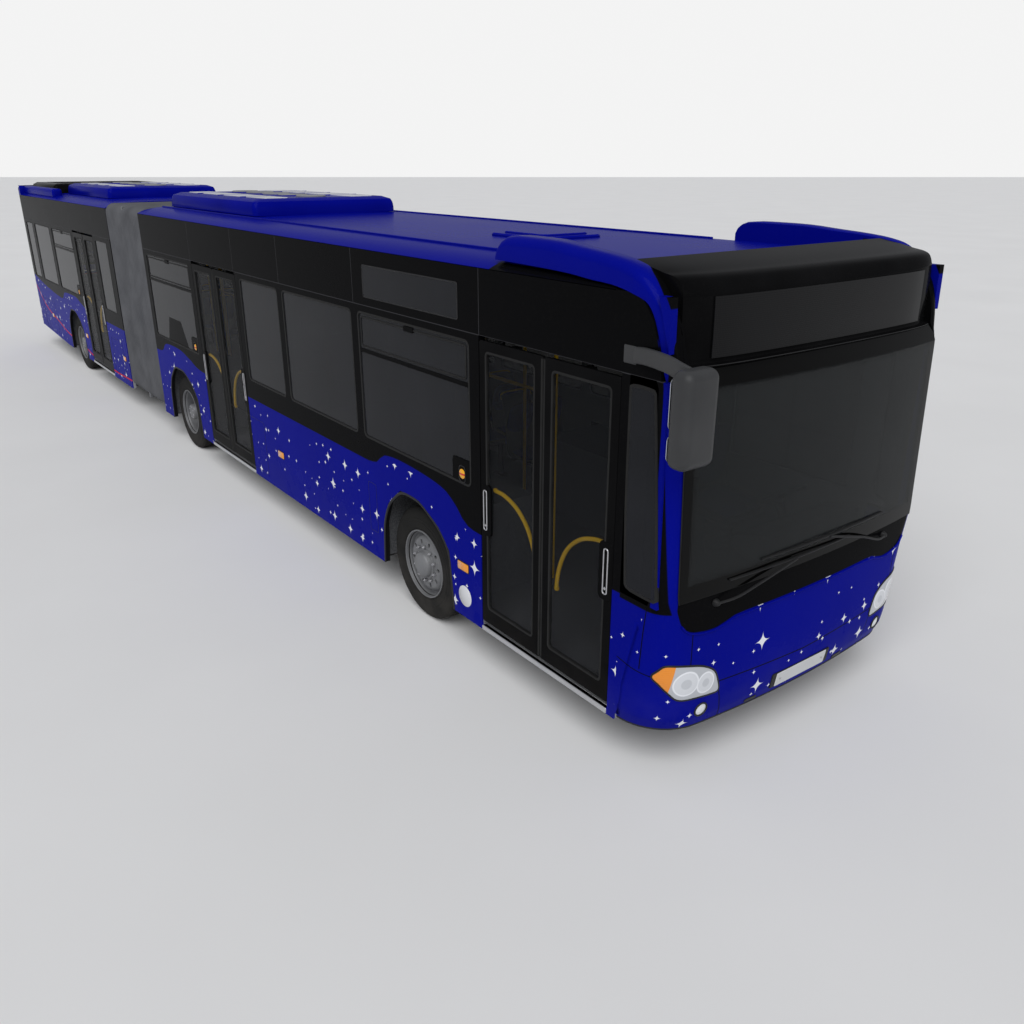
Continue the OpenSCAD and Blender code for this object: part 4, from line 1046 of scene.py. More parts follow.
display = finish("blank display", display_paint, 0.12, Specular_IOR_Level=0.1)
piece("forehead", [(gloss, [table(across(section, (-1.165, 1.165, 41)), wrap_cols=True, cap=True)]),
                   (display, [slab(window[:, ::-1], 0.006)]), (satin, [tube(edge, 0.004, 6)])],
      "front_section", ["dome"], sharp=50)

# %% [markdown]
# ## The roof shoulders
# A blue moulding rises from the roof rail, runs beside the forehead and dives down into the pillar
# beside the windscreen, so the front looks framed. Its height follows one curve along the body.

# %% Roof shoulders
x = np.concatenate([at(1.76) + np.array([0, 0.006, 0.02, 0.05]), np.linspace(at(1.66), at(0.62), 14),
                    np.linspace(at(0.58), at(0.121), 26)])
TOP_LINE = spline([(at(1.76), 3.050), (at(1.735), 3.095), (at(1.68), 3.125), (at(1.58), 3.137),
                   (at(1.2), 3.135),
                   (at(0.95), 3.117), (at(0.70), 3.098), (at(0.54), 3.076), (at(0.43), 3.045),
                   (at(0.345), 2.99),
                   (at(0.27), 2.91), (at(0.215), 2.83), (at(0.18), 2.75), (at(0.155), 2.65),
                   (at(0.135), 2.55), (at(0.121), 2.49)], 120)
FOOT_LINE = spline([(at(1.76), 2.985), (at(1.3), 2.980), (at(1.0), 2.972), (at(0.80), 2.958),
                    (at(0.635), 2.952),
                    (at(0.51), 2.935), (at(0.442), 2.92), (at(0.354), 2.889), (at(0.302), 2.829),
                    (at(0.262), 2.73),
                    (at(0.225), 2.61), (at(0.195), 2.49), (at(0.121), 2.485)], 120)
top = np.interp(x, *TOP_LINE.T)
foot = np.minimum(np.interp(x, *FOOT_LINE.T), top - 0.006)
turn_in = HALF - np.interp(x, [at(1.76), at(1.0), at(0.45), at(0.20), at(0.121)],
                           [0.06, 0.03, 0.0, 0.02, 0.085]) + 0.003
t = np.linspace(0, np.pi / 2, 8)
r = np.minimum(0.06, (top - foot) * 0.9)
corner_y = turn_in[:, None] - r[:, None] * (1 - np.cos(t))
corner_z = top[:, None] - r[:, None] * (1 - np.sin(t))
edge_in = np.interp(x, [at(1.3), at(0.45), at(0.121)], [1.06, 1.145, 1.168])[:, None]
ys = np.concatenate([turn_in[:, None], corner_y, edge_in + 0.02, edge_in, edge_in], 1)
zs = np.concatenate([foot[:, None], corner_z, top[:, None], top[:, None] - 0.008, foot[:, None]], 1)
shoulder = np.stack([np.broadcast_to(x[:, None], ys.shape), -ys, zs], -1)
INNER_EDGE = [(2.4, 0.250), (2.68, 0.248), (2.78, 0.242), (2.85, 0.236), (2.93, 0.219), (3.0, 0.203),
              (3.04, 0.18),
              (3.07, 0.12), (3.1, 0.0)]


def shoulder_paint(tree, spot):
    """Blue outside one line down the moulding, and the forehead's black between that line and the glass."""
    x, y, z = split(spot)
    return blackened(tree, spot, abs(y).over(through(z, INNER_EDGE, 2.4, 3.1) + 1.0).flip() * x.over(at(0.7)))


shoulder_coat = finish("shoulder paint", shoulder_paint, **COAT)
piece("roof shoulders", [(shoulder_coat, sides(table(shoulder, wrap_cols=True, cap=True)))],
      "front_section", ["roof_fairings"], sharp=50)

# %% [markdown]
# ## Lamps, plate pad and fog lamps
# Each headlamp is a clear lens over two round reflectors, drawn on it as a painted reflection, with an
# amber end at the corner. Its outline is drawn on the nose and filled with rings that shrink to the middle
# while they swell outwards.


# %% Lamps on the nose
def crowned(line, lay, low, high, rings=7, swell=2.2):
    """A swelling face: the outline shrinks to its middle as its height goes from low to high."""
    centre = line.mean(0)
    k = np.linspace(1, 0, rings)
    smaller = [centre + (line - centre) * max(s, 0.02) for s in k]
    P = [lay(line, low)] + [lay(q, low + (high - low) * (1 - s**swell) + 0.004) for q, s in zip(smaller, k)]
    return table(np.stack(P), wrap_cols=True, cap=True, flat=np.stack([line] + smaller))


def lay_nose(line, lift):
    return on_nose(line[:, 0], line[:, 1], lift)


def ring_line(points, n=72):
    """A smooth closed line through points."""
    p = np.vstack([points, points[:1]])
    q = spline(np.vstack([points[-1:], p, points[1:2]]), 3 * n)
    long = np.concatenate([[0], np.cumsum(np.linalg.norm(np.diff(q, axis=0), axis=1))])
    n0, n1 = (3 * n) // (len(p) + 1), (3 * n * len(p)) // (len(p) + 1)
    s = np.linspace(long[n0], long[n1], n, endpoint=False)
    return np.stack([np.interp(s, long, q[:, 0]), np.interp(s, long, q[:, 1])], 1)


lamp_line = ring_line(np.array([(1.272, .725), (1.237, .772), (1.20, .806), (1.136, .806), (1.044, .792),
                                (.93, .756),
                                (.845, .70), (.808, .62), (.798, .552), (.86, .545), (.985, .555),
                                (1.10, .563),
                                (1.165, .615), (1.225, .675)]))


def lens_paint(tree, spot):
    """Clear lens with two round reflectors; the outer end is amber. Read from the flat map.
    The reflectors are a painted reflection: each chrome bowl is drawn lighter than the lens, its rim
    lighter still and its bulb darker.
    """
    u, v, _ = split(place(tree, "UV"))
    u = abs(u)
    painted_reflection = None
    for a, b, r in ((0.915, 0.645, 0.068), (1.06, 0.675, 0.082)):
        p, q = u - a, v - b
        far = (p * p + q * q).math("SQRT")
        bowl = far.over(r, 0.003).flip()
        ring = abs(far - r).over(0.005, 0.002).flip()
        bulb = far.over(r * 0.42, 0.004).flip()
        # painted reflection: the chrome bowl and its rim are drawn lighter than the lens, the bulb darker
        reflector_reflection = bowl * 0.35 + ring * 0.5 - bulb * 0.22
        painted_reflection = reflector_reflection if painted_reflection is None else painted_reflection.most(reflector_reflection)
    tone = painted_reflection.span(-0.3, 0.6)
    c = mix(tree, tone, (0.30, 0.32, 0.35), (0.82, 0.84, 0.88))
    outer = (u + (v - 0.71) * 0.16).over(1.150, 0.002)
    ribs = (v * 420.0).math("SINE").span(-1.0, 1.0)
    c = mix(tree, outer, c, (0.84, 0.27, 0.012))
    return {"colour": c, "rough": tone * 0.05 + 0.05, "relief": ribs * outer, "depth": 0.0006}


lens = finish("headlamp lens", lens_paint, 0.06, Coat_Weight=1.0, Coat_Roughness=0.03)
lamp = crowned(lamp_line, lay_nose, -0.002, 0.008)
rim = rim_of(lamp_line, ((-0.009, -0.002), (-0.008, 0.003), (-0.003, 0.006), (0.003, 0.005),
                         (0.004, -0.002)), lay_nose)
FOG = [0.922, 0.45]
fog = crowned(circle(0.040, 32) + FOG, lay_nose, -0.002, 0.006)
fog_rim = rim_of(circle(0.052, 32) + FOG,
                 ((0, -0.002), (0.001, 0.006), (0.006, 0.009), (0.012, 0.004), (0.012, -0.002)), lay_nose)
piece("headlamps and fog lamps", [(lens, sides(lamp)), (satin, sides(rim, fog_rim)), (pearl, sides(fog))],
      "front_section", ["headlamps"], sharp=60)

lay_front = lambda line, lift: on_front(line[:, 0], line[:, 1], lift)
blank_plate = mottled("blank plate", (0.60, 0.61, 0.62), (0.68, 0.69, 0.70), 5.0, 0.4, dirty=0.2)
pad = plate(round_rect((-0.30, 0.30), (0.372, 0.485), 0.012), -0.004, 0.010, lay_front)
sheet_plate = plate(round_rect((-0.26, 0.26), (0.376, 0.481), 0.010), 0.009, 0.0125, lay_front)
screws = [crowned(circle(0.006, 12) + [y, 0.43], lay_front, 0.012, 0.0145, 3) for y in (-0.22, 0.22)]
hooks = [plate(round_rect((y - 0.055, y + 0.055), (0.335, 0.365), 0.014), -0.004, 0.005, lay_front)
         for y in (-0.46, 0.46)]
piece("plate pad", [(satin, [pad] + hooks), (blank_plate, [sheet_plate]), (steel, screws)],
      "front_section")
print("nose pieces:", made[-7:])

# %% [markdown]
# ## Windows
# The side glass is bonded flush: dark panes with round corners behind a thin rubber edge. Some panes
# have a tilting upper half, and the one before each door has a black corner plate with a push button.
# The solid panes already say where each one is, so their boxes place the glass.


# %% Side windows
def parts_of(name):
    """Boxes of the separate pieces of a solid: neighbouring corners share the lowest label."""
    mesh = nodes[name].data
    co = np.zeros(len(mesh.vertices) * 3)
    mesh.vertices.foreach_get("co", co)
    co = co.reshape(-1, 3)
    edges = np.zeros(len(mesh.edges) * 2, int)
    mesh.edges.foreach_get("vertices", edges)
    _, same = np.unique(np.round(co, 4), axis=0, return_inverse=True)
    a, b = same.ravel()[edges.reshape(-1, 2)].T
    label = np.arange(same.max() + 1)
    for _ in range(200):
        low = np.minimum(label[a], label[b])
        np.minimum.at(label, a, low)
        np.minimum.at(label, b, low)
    mark = label[same.ravel()]
    return [(co[mark == m].min(0), co[mark == m].max(0)) for m in np.unique(mark)]


def ply(side):
    """A drawing in X and Z laid on the right (-1) or left (+1) side at a distance from the middle."""
    return lambda line, y: on_side(line, side * y)


QUARTER = np.array([(at(0.145), 1.26), (at(0.150), 1.31), (at(0.185), 1.80), (at(0.240), 2.39),
                    (at(0.262), 2.438),
                    (at(0.30), 2.447), (at(0.40), 2.447), (at(0.428), 2.43), (at(0.430), 2.39),
                    (at(0.425), 1.80),
                    (at(0.402), 1.31), (at(0.392), 1.262), (at(0.36), 1.245), (at(0.18), 1.242)])
TILTING = (at(2.79), at(8.62), at(14.60))
BUTTON_Z = 1.472


def side_pane(low, high, side):
    """One pane: its glass and seal, and the tilting half, corner plate and button where it has them."""
    lay, x, z = ply(side), (low[0], high[0]), (low[2], high[2])
    line = round_rect(x, z, 0.045, 7)
    lift = 0.0
    if x[1] > at(0.35):
        line, lift = ring_line(QUARTER, 90), 0.0135
    parts = {"glass": [plate(line, 1.256 + lift, 1.267 + lift * 0.85, lay)],
             "rubber": [frame_of(inset(line, -0.009), 0.020, 1.25 + lift, 1.2765 + lift / 3, lay)],
             "trim": [], "button": [], "metal": []}
    if min(abs((x[0] + x[1]) / 2 - t) for t in TILTING) < 0.12:
        upper = round_rect((x[0] + 0.035, x[1] - 0.035), (2.165, 2.412), 0.03, 5)
        parts["rubber"] += [frame_of(upper, 0.014, 1.262, 1.2735, lay)]
        pad = lambda xs, zs, r, high, n=3: plate(round_rect(xs, zs, r, n), 1.262, high, lay)
        mid = (x[0] + x[1]) / 2
        parts["trim"] += [pad((x[0] + 0.01, x[1] - 0.01), (2.118, 2.150), 0.01, 1.2725),
                          pad((mid - 0.07, mid + 0.07), (2.385, 2.425), 0.012, 1.277)]
        if side < 0:
            parts["trim"].append(pad((x[1] - 0.235, x[1] + 0.02), (1.38, 1.585), 0.03, 1.2752, 5))
            b = x[1] - 0.107
            well = round_rect((b - 0.042, b + 0.042), (1.405, 1.535), 0.03, 5)
            parts["metal"].append(frame_of(well, 0.008, 1.27, 1.280, lay))
            parts["button"].append(crowned(circle(0.036, 28) + [b, BUTTON_Z], lay, 1.274, 1.2815, 4))
    return parts


def button_paint(tree, spot):
    """A yellow push button with a red bar, in the flat map of its own face."""
    v = split(place(tree, "UV"))[1]
    bar = abs(v - BUTTON_Z).over(0.007, 0.0015).flip()
    c = mix(tree, bar, (0.90, 0.42, 0.01), (0.55, 0.02, 0.015))
    return {"colour": c, "rough": noise(spot, 40.0) * 0.1 + 0.25}


button = finish("door button", button_paint, 0.3, Coat_Weight=0.5)


def glaze(name, node_name, body, extra=()):
    """Glass, seals and fittings for every side pane of a solid, as one piece."""
    kinds = {"glass": [], "rubber": [], "trim": [], "button": [], "metal": []}
    for low, high in parts_of(node_name):
        if abs(low[1] + high[1]) < 0.1:
            continue
        for k, v in side_pane(low, high, 1 if low[1] > 0 else -1).items():
            kinds[k] += v
    for k, v in extra:
        kinds[k] += v
    groups = [(glass, kinds["glass"]), (rubber, kinds["rubber"]), (gloss, kinds["trim"]),
              (button, kinds["button"]),
              (satin, kinds["metal"])]
    return piece(name, [g for g in groups if g[1]], body, [node_name], sharp=35)


sign_line = round_rect((at(3.46), at(2.12)), (2.57, 2.81), 0.012, 4)
sign = [("glass", [plate(sign_line, 1.268, 1.2775, ply(-1))]),
        ("metal", [frame_of(inset(sign_line, -0.006), 0.010, 1.268, 1.2800, ply(-1))])]
shade = np.array([(at(8.16), 1.395), (at(8.38), 1.71), (at(8.83), 1.71), (at(8.96), 1.395)])
sign.append(("trim", [plate(shade, 1.262, 1.2685, ply(-1))]))
upright = round_rect((at(1.20) - 0.012, at(1.20) + 0.012), (1.27, 2.42), 0.008, 3)
crossbar = round_rect((at(1.74), at(0.63)), (1.60, 1.618), 0.008, 3)
driver_lines = [("trim", [plate(upright, 1.262, 1.273, ply(1)), plate(crossbar, 1.262, 1.272, ply(1))])]
glaze("front windows", "windows_front", "front_section", sign + driver_lines)
glaze("rear windows", "windows_rear", "rear_section")

# %% [markdown]
# ## Doors
# Each door has two leaves of glass in a black frame, a rubber edge where they meet, a handle recess and
# a curved yellow rail inside. Every leaf hangs on its own body, named after its solid.


# %% Door leaves
def border(outer, inner, low, high, lay, soft=0.003):
    """A frame between two closed lines with as many points each."""
    rise = math.copysign(soft, high - low)
    rings = [(outer, low), (outer, high - rise), (inset(outer, soft), high), (inset(inner, -soft), high),
             (inner, high - rise), (inner, low)]
    return table(np.stack([lay(line, h) for line, h in rings]), wrap_rows=True, wrap_cols=True)


def door_leaf(name, dx, s):
    """s is +1 for the front leaf and -1 for the rear one; u runs from the door's middle outwards."""
    lay, pin, far = ply(-1), dx + s * 0.3545, dx + s * 0.679
    span_x = lambda a, b: tuple(sorted((dx + s * a, dx + s * b)))
    outer = round_rect(span_x(0.005, 0.679), (0.392, 2.47), 0.018, 5)
    inner = round_rect(span_x(0.085, 0.609), (0.512, 2.40), 0.030, 5)
    frame_part = border(outer, inner, 1.246, 1.2748, lay)
    pane_part = plate(inset(inner, -0.006), 1.252, 1.262, lay)
    seal = frame_of(inset(inner, -0.007), 0.018, 1.252, 1.2765, lay)
    x0, x1 = span_x(0.003, 0.024)
    nose_rubber = soft_box((x0, -1.277, 0.40), (x1, -1.243, 2.46), 0.009, 4)
    recess = plate(round_rect(span_x(0.560, 0.672), (1.09, 1.475), 0.035, 6), 1.262, 1.2775, lay)
    grip = frame_of(round_rect(span_x(0.600, 0.645), (1.13, 1.435), 0.020, 6), 0.009, 1.274, 1.2835, lay)
    lock = crowned(circle(0.010, 16) + [dx + s * 0.622, 1.17], lay, 1.276, 1.282, 3)
    rail = spline([(dx + s * a, -1.222 - b, z) for a, b, z in
                   ((.590, -.012, 1.43), (.575, .002, 1.43), (.47, .002, 1.425), (.33, .002, 1.375),
                    (.21, .002, 1.27),
                    (.135, .002, 1.12), (.105, .002, .96), (.103, -.012, .94))], 48)
    brackets = [soft_box((pin - 0.035, -1.262, z), (pin + 0.035, -1.186, z + 0.016), 0.006,
                         3) for z in (0.396, 2.450)]
    piece(name + " leaf", [(door_glass, [pane_part]), (gloss, [frame_part, recess]),
                           (rubber, [seal, nose_rubber]),
                           (steel, [grip, lock]), (satin, brackets),
                           (yellow, [tube(rail, 0.0145, 10, (0, 1, 0))])],
          name + "_leaf", [name + "_leaf"], sharp=35)


for number, dx in DOORS.items():
    door_leaf(f"door_{number}_rear", dx, -1)
    door_leaf(f"door_{number}_front", dx, 1)

# %% [markdown]
# ## Sills, markers and small plates
# Below each door runs a bright step edge. Amber markers stand along both sides and a small round
# sticker, left plain, sits behind the front door.


# %% Sills and markers
def small_things(section, doors, markers, flaps, dots):
    """Step edges, side markers with their cups, outlines of the service lids, and plain stickers."""
    edges = [soft_box((DOORS[d] - 0.68, -1.282, 0.312), (DOORS[d] + 0.68, -1.235, 0.350), 0.007,
                      4) for d in doors]
    ribs = [soft_box((DOORS[d] - 0.66, -1.25, 0.349), (DOORS[d] + 0.66, -1.244, 0.353), 0.002,
                     2) for d in doors]
    lights_ = [plate(round_rect((x - 0.07, x + 0.07), (0.70, 0.765), 0.010, 4), 1.272, 1.281, ply(s))
               for x in markers for s in (-1, 1)]
    cups = [frame_of(round_rect((x - 0.077, x + 0.077), (0.693, 0.772), 0.014, 4), 0.008, 1.272, 1.2795,
                     ply(s))
            for x in markers for s in (-1, 1)]
    lids = [frame_of(round_rect(xs, zs, 0.02, 4), 0.004, 1.2735, 1.2765, ply(s)) for xs,
            zs in flaps for s in (-1, 1)]
    stickers = [plate(circle(0.085, 40) + d, 1.2745, 1.2758, ply(-1), 0.0004) for d in dots]
    groups = [(alloy, edges + ribs), (amber, lights_), (satin, cups + lids), (white, stickers)]
    piece(section.replace("_", " ") + " trim", [g for g in groups if g[1]], section, sharp=50)


def rounded(corners, n=110, reach=17):
    """An open line with its corners rounded: even steps along it, each averaged with its neighbours."""
    p = np.array(corners, float)
    long = np.concatenate([[0], np.cumsum(np.linalg.norm(np.diff(p, axis=0), axis=1))])
    s = np.linspace(0, long[-1], n)
    weight = np.hanning(reach) / np.hanning(reach).sum()
    even = [np.interp(s, long, p[:, k]) for k in (0, 1)]
    longer = [np.pad(e, reach // 2, mode="reflect", reflect_type="odd") for e in even]
    return np.stack([np.convolve(e, weight, "valid") for e in longer], 1)


def arch_lips(name, body, wheels_):
    """A rubber lip over each wheel, along the rounded edge of the opening."""
    lips_ = []
    for key, a, b in wheels_:
        x = AXLE[key][0]
        line = rounded([(x - b, SKIRT + 0.004), (x - b + 0.024, 0.69), (x - b + 0.116, 0.886),
                        (x - b + 0.335, 1.066),
                        (x + a - 0.485, 1.066), (x + a - 0.205, 0.935), (x + a - 0.056, 0.787),
                        (x + a, SKIRT + 0.004)])
        path_ = np.stack([line[:, 0], np.full(len(line), -HALF + 0.004), line[:, 1]], 1)
        t = np.linspace(0, 2 * np.pi, 16, endpoint=False)
        oval = np.stack([0.013 * np.cos(t), 0.0075 * np.sin(t)], 1)
        lips_.append(table(carried(path_, oval, side=(0, 1, 0)), wrap_cols=True, cap=True))
    piece(name, [(satin, sides(*lips_))], body, sharp=60)


arch_lips("front arch lips", "front_section", (("front", 0.55, 0.55), ("middle", 0.69, 0.50)))
arch_lips("rear arch lips", "rear_section", (("rear", 0.69, 0.50),))
small_things("front_section", (1, 2), (at(2.115), at(5.5)),
             [((at(3.58), at(3.44)), (0.55, 1.00)), ((at(6.9), at(5.9)), (0.40, 0.98))], [(at(2.10), 0.49)])
small_things("rear_section", (3,), (at(11.45), at(13.85), at(16.6)),
             [((at(17.4), at(16.3)), (0.42, 1.02)), ((at(12.1), at(11.5)), (0.42, 0.98))], [])

# %% [markdown]
# ## Wheels
# A bus tyre has straight ribs cut by sipes, and a round sidewall with moulded rings. It is a profile
# turned about the axle; the sipes are a square wave of the angle that lowers the tread. The front rim
# bulges outwards, the twin rims are deep dishes; both are pierced between the nuts.

# %% Tyres
RIB = np.linspace(0.040, 0.235, 6)


def tread_profile(width):
    """(radius, depth, how much the sipes lower it) from the outer bead over the tread and back."""
    wall = [(.272, .030, 0), (.2870, .016, 0), (.298, .008, 0), (.303, .0045, 0), (.305, .0075, 0),
            (.330, .003, 0),
            (.362, .0005, 0), (.364, .0025, 0), (.390, .001, 0), (.392, .003, 0), (.425, .005, 0),
            (.450, .012, 0),
            (.466, .023, .003), (.4765, .036, .004)]
    ribs = []
    for a, b in zip(RIB, RIB[1:]):
        ribs += [(.4785, a + .001, .005), (.4785, b - .008, .005), (.4680, b - .007, 0), (.4680, b, 0)]
    ribs[-1] = (.4785, RIB[-1] - .001, .005)
    ribs[-2] = (.4785, RIB[-1] - .004, .005)
    back = [(r, width - d, s) for r, d, s in wall[::-1]]
    return np.array(wall + ribs + back + wall[:1])


def tyre(x, z, y, side, width=0.275, sipes=46):
    p = tread_profile(width)
    a = np.linspace(0, 2 * np.pi, sipes * 4, endpoint=False)
    cut = (np.arange(sipes * 4) % 4 == 0)
    r = p[:, :1] - p[:, 2:] * cut
    P = np.stack([x + r * np.cos(a), y - side * p[:, 1:2] + 0 * a, z + r * np.sin(a)], -1)
    return table(P, wrap_cols=True)


def pierced(x, z, y, side, r_in, r_out, depth, hole, count=10, n=24, rings=4):
    """A ring with a hole in each of its sectors. Each sector is a table from the hole's edge, an
    ellipse (ring radius, radial half, tangential half), out to the sector's own border."""
    t = np.linspace(0, 2 * np.pi, n, endpoint=False)
    wide = np.pi / count
    box = np.stack([np.cos(t), np.sin(t)], 1)
    box = box / np.abs(box).max(1, keepdims=True)
    mid = (r_in + r_out) / 2
    edge_r, edge_a = mid + box[:, 0] * (r_out - r_in) / 2, box[:, 1] * wide
    hole_r, hole_a = hole[0] + hole[1] * np.cos(t), hole[2] * np.sin(t) / hole[0]
    k = np.linspace(0, 1, rings)[:, None]
    r = hole_r * (1 - k) + edge_r * k
    turn_ = hole_a * (1 - k) + edge_a * k
    r, turn_ = np.vstack([r[:1], r]), np.vstack([turn_[:1], turn_])
    lip = np.zeros_like(r)
    lip[0] = 0.014
    patches = []
    for c in range(count):
        b = turn_ + c * 2 * wide
        P = np.stack([x + r * np.cos(b), y - side * (depth(r) + lip), z + r * np.sin(b)], -1)
        patches.append(table(P, wrap_cols=True))
    return patches


def nuts(x, z, y, side, ring, count, r, tall):
    """Six-sided nuts with a stud in each, standing out from a ring."""
    patches = []
    for b in (np.arange(count) + 0.5) * 2 * np.pi / count:
        cx, cz = x + ring * math.cos(b), z + ring * math.sin(b)
        for radius, low, high, n in ((r, 0, tall, 6), (r * 0.55, tall, tall * 1.45, 10)):
            patches.append(plate(circle(radius, n) + [cx, cz], low, high,
                                 lambda line, h: on_side(line, y + side * h), 0.0015))
    return patches


def wheel(name, y, side, twin):
    """Tyre, rim, nuts and hub of one wheel; a twin wheel has two tyres and a deep dish."""
    low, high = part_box(name)
    x, z = (low[0] + high[0]) / 2, (low[2] + high[2]) / 2
    turn_profile = lambda p, n=72: turned(p, x, z, y, n, side)
    lip = [(.2855, .030), (.2905, .014), (.2900, .006), (.2850, .003), (.2790, .006), (.2765, .016),
           (.2740, .034)]
    if twin:
        face = lambda r: 0.285 - 0.05 * np.clip((r - 0.205) / 0.05, 0, 1) ** 2
        barrel = lip + [(.2650, .045), (.2635, .060), (.2630, .225), (.256, .234)]
        disc = pierced(x, z, y, side, 0.150, 0.256, face, (0.212, 0.024, 0.022))
        hub = [(.151, .285), (.149, .276), (.122, .272), (.119, .262), (.117, .110), (.114, .090),
               (.100, .078), (.096, .032),
               (.088, .022), (.040, .020), (.0005, .020)]
        rings = [turn_profile(barrel), turn_profile(hub)]
        studs = nuts(x, z, y - side * 0.277, side, 0.1355, 10, 0.013, 0.020)
        studs += nuts(x, z, y - side * 0.024, side, 0.075, 8, 0.008, 0.008)
        tyres = [tyre(x, z, y, side), tyre(x, z, y - side * 0.320, side)]
        tyres.append(turn_profile([(.2635, .26), (.2850, .27), (.2850, .325), (.2635, .335)], 48))
    else:
        face = lambda r: 0.030 + 0.045 * np.clip((r - 0.208) / 0.045, 0, 1) ** 1.5
        barrel = lip + [(.2650, .048), (.2600, .070), (.253, .075)]
        disc = pierced(x, z, y, side, 0.128, 0.253, face, (0.186, 0.021, 0.015))
        hub = [(.1285, .030), (.127, .022), (.112, .018), (.108, .000), (.104, -.014), (.092, -.024),
               (.050, -.028), (.0005, -.029)]
        rings = [turn_profile(barrel), turn_profile(hub),
                 turn_profile([(.2635, .05), (.2635, .24), (.272, .25)], 48)]
        studs = nuts(x, z, y - side * 0.026, side, 0.148, 10, 0.0125, 0.018)
        tyres = [tyre(x, z, y, side)]
    inner_hub = [turn_profile([(.0005, .12), (.16, .12), (.16, .20), (.0005, .20)], 40)] if not twin else []
    piece(name + " dressed", [(tyre_skin, tyres), (rim_paint, rings + disc), (dark_rim, inner_hub),
                              (steel, studs)],
          name, [name], sharp=40)


for s, hand in ((1, "left"), (-1, "right")):
    wheel("front_wheel_" + hand, s * 1.22, s, False)
    wheel("middle_wheel_" + hand, s * 1.205, s, True)
    wheel("rear_wheel_" + hand, s * 1.205, s, True)

# %% [markdown]
# ## The bellows
# Grey coated cloth joins the two sections in shallow folds. It is one sleeve: a rounded loop carried
# from body to body, drawn in by the sine of its place.

# %% Bellows
FOLDS = 22
step = np.linspace(0, 1, FOLDS * 6 + 1)
fold = 0.017 * np.abs(np.sin(step * np.pi * FOLDS)) ** 0.8
fold += 0.012 * np.exp(-((step - 0.5) / 0.012) ** 2)
loop = round_rect((-1.274, 1.274), (0.345, 3.0), 0.13, 10)
x = FRONT_END + (REAR_END - FRONT_END) * step
depth = 0.019 - fold
outer, inner = (np.stack([np.column_stack([np.full(len(loop), a), inset(loop, d + thick)]) for a,
                          d in zip(x, depth)])
                for thick in (0, 0.016))
sleeve = table(np.concatenate([outer, inner[::-1]]), wrap_rows=True, wrap_cols=True)
bellows = piece("bellows", [(bellow_cloth, [sleeve])], None, sharp=80)
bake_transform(bellows)
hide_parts("bellows_front", "bellows_rear")

# %% [markdown]
# ## Mirrors and wipers
# The right mirror hangs ahead of the corner from a flat curved arm, the left one sits beside the
# driver. Each housing is a soft box, hollowed by a glass on its back.


# %% Mirrors and wipers
def mirror(arm, low, high, tall):
    """A flat arm with round edges, a soft housing, and two panes of glass on its back."""
    low, high = np.array(low), np.array(high)
    t = np.linspace(0, 2 * np.pi, 20, endpoint=False)
    c, s = np.cos(t), np.sin(t)
    flat_arm = np.stack([0.014 * np.sign(c) * np.abs(c) ** 0.4, tall * np.sign(s) * np.abs(s) ** 0.4], 1)
    P = carried(spline(arm, 24), flat_arm)
    lay = lambda line, h: np.stack([low[0] - h + 0 * line[:, 0], line[:, 0], line[:, 1]], -1)
    y, z = (low[1] + 0.02, high[1] - 0.02), (low[2], high[2])
    split_z = low[2] + 0.36 * (high[2] - low[2])
    glasses = [plate(round_rect(y, (split_z + 0.012, z[1] - 0.045), 0.03, 6), -0.004, 0.002, lay),
               plate(round_rect(y, (z[0] + 0.025, split_z - 0.012), 0.03, 6), -0.004, 0.002, lay)]
    return [table(P, wrap_cols=True, cap=True), soft_box(low, high, 0.052, 9)], glasses


right_box, right_glass = mirror([(at(0.43), -1.262, 2.605), (at(0.30), -1.30, 2.62), (at(0.10), -1.36, 2.625),
                                 (FRONT + 0.03, -1.40, 2.615), (FRONT + 0.11, -1.40, 2.595)],
                                (FRONT + 0.062, -1.52, 2.152), (FRONT + 0.198, -1.28, 2.648), 0.045)
left_box, left_glass = mirror([(at(0.50), 1.262, 1.96), (at(0.44), 1.30, 1.96), (at(0.40), 1.36, 1.96)],
                              (at(0.448), 1.322, 1.702), (at(0.312), 1.518, 2.198), 0.035)
feet = [soft_box((at(0.50), -1.279, 2.555), (at(0.40), -1.258, 2.655), 0.008, 4),
        soft_box((at(0.55), 1.258, 1.915), (at(0.45), 1.279, 2.005), 0.008, 4)]
mirror_shell = grained("mirror housing", (0.035, 0.036, 0.038), (0.055, 0.056, 0.058), 0.42, 600.0, 0.0002)
piece("side mirrors", [(mirror_shell, right_box + left_box + feet), (mirror_glass, right_glass + left_glass)],
      "front_section", ["mirrors"], sharp=45)


def along_glass(points, n=30):
    """Points (y, z, lift) on the nose, joined by a smooth line."""
    return on_front(*spline(points, n).T)


def wiper(spindle, blade, height):
    """An arm from its spindle over the glass, the blade's back, its rubber lip and the spindle's cap."""
    mid = (blade[0] + blade[1]) / 2
    arm = along_glass([(*spindle, 0.018), (spindle[0] * 0.8 + mid * 0.2, spindle[1] + 0.02, 0.045),
                       ((spindle[0] + mid) / 2, (spindle[1] + height) / 2, 0.048), (mid, height, 0.040)])
    back = along_glass([(blade[0], height, 0.022), (mid, height + 0.004, 0.036), (blade[1], height, 0.022)])
    lip_ = along_glass([(blade[0], height, 0.014), (mid, height, 0.015), (blade[1], height, 0.014)])
    knob = [crowned(circle(0.026, 24) + list(spindle), lay_front, 0.0, 0.030, 4)]
    return [tube(arm, 0.0085, 10), tube(back, 0.006, 8)] + knob, [tube(lip_, 0.0055, 8)]


arms, lips = zip(wiper((-0.88, 1.17), (-0.80, 0.34), 1.30), wiper((0.82, 1.17), (-0.54, 0.72), 1.365))
piece("wiper arms", [(satin, sum(arms, [])), (rubber, sum(lips, []))], "front_section",
      ["wipers"])
print("dressed so far:", len(made))

# %% [markdown]
# ## The tail
# The back is one shell with wide round corners, a window, an engine flap with cooling slots and a lamp
# column at each side. Like the nose it is a table of height and place along the plan.

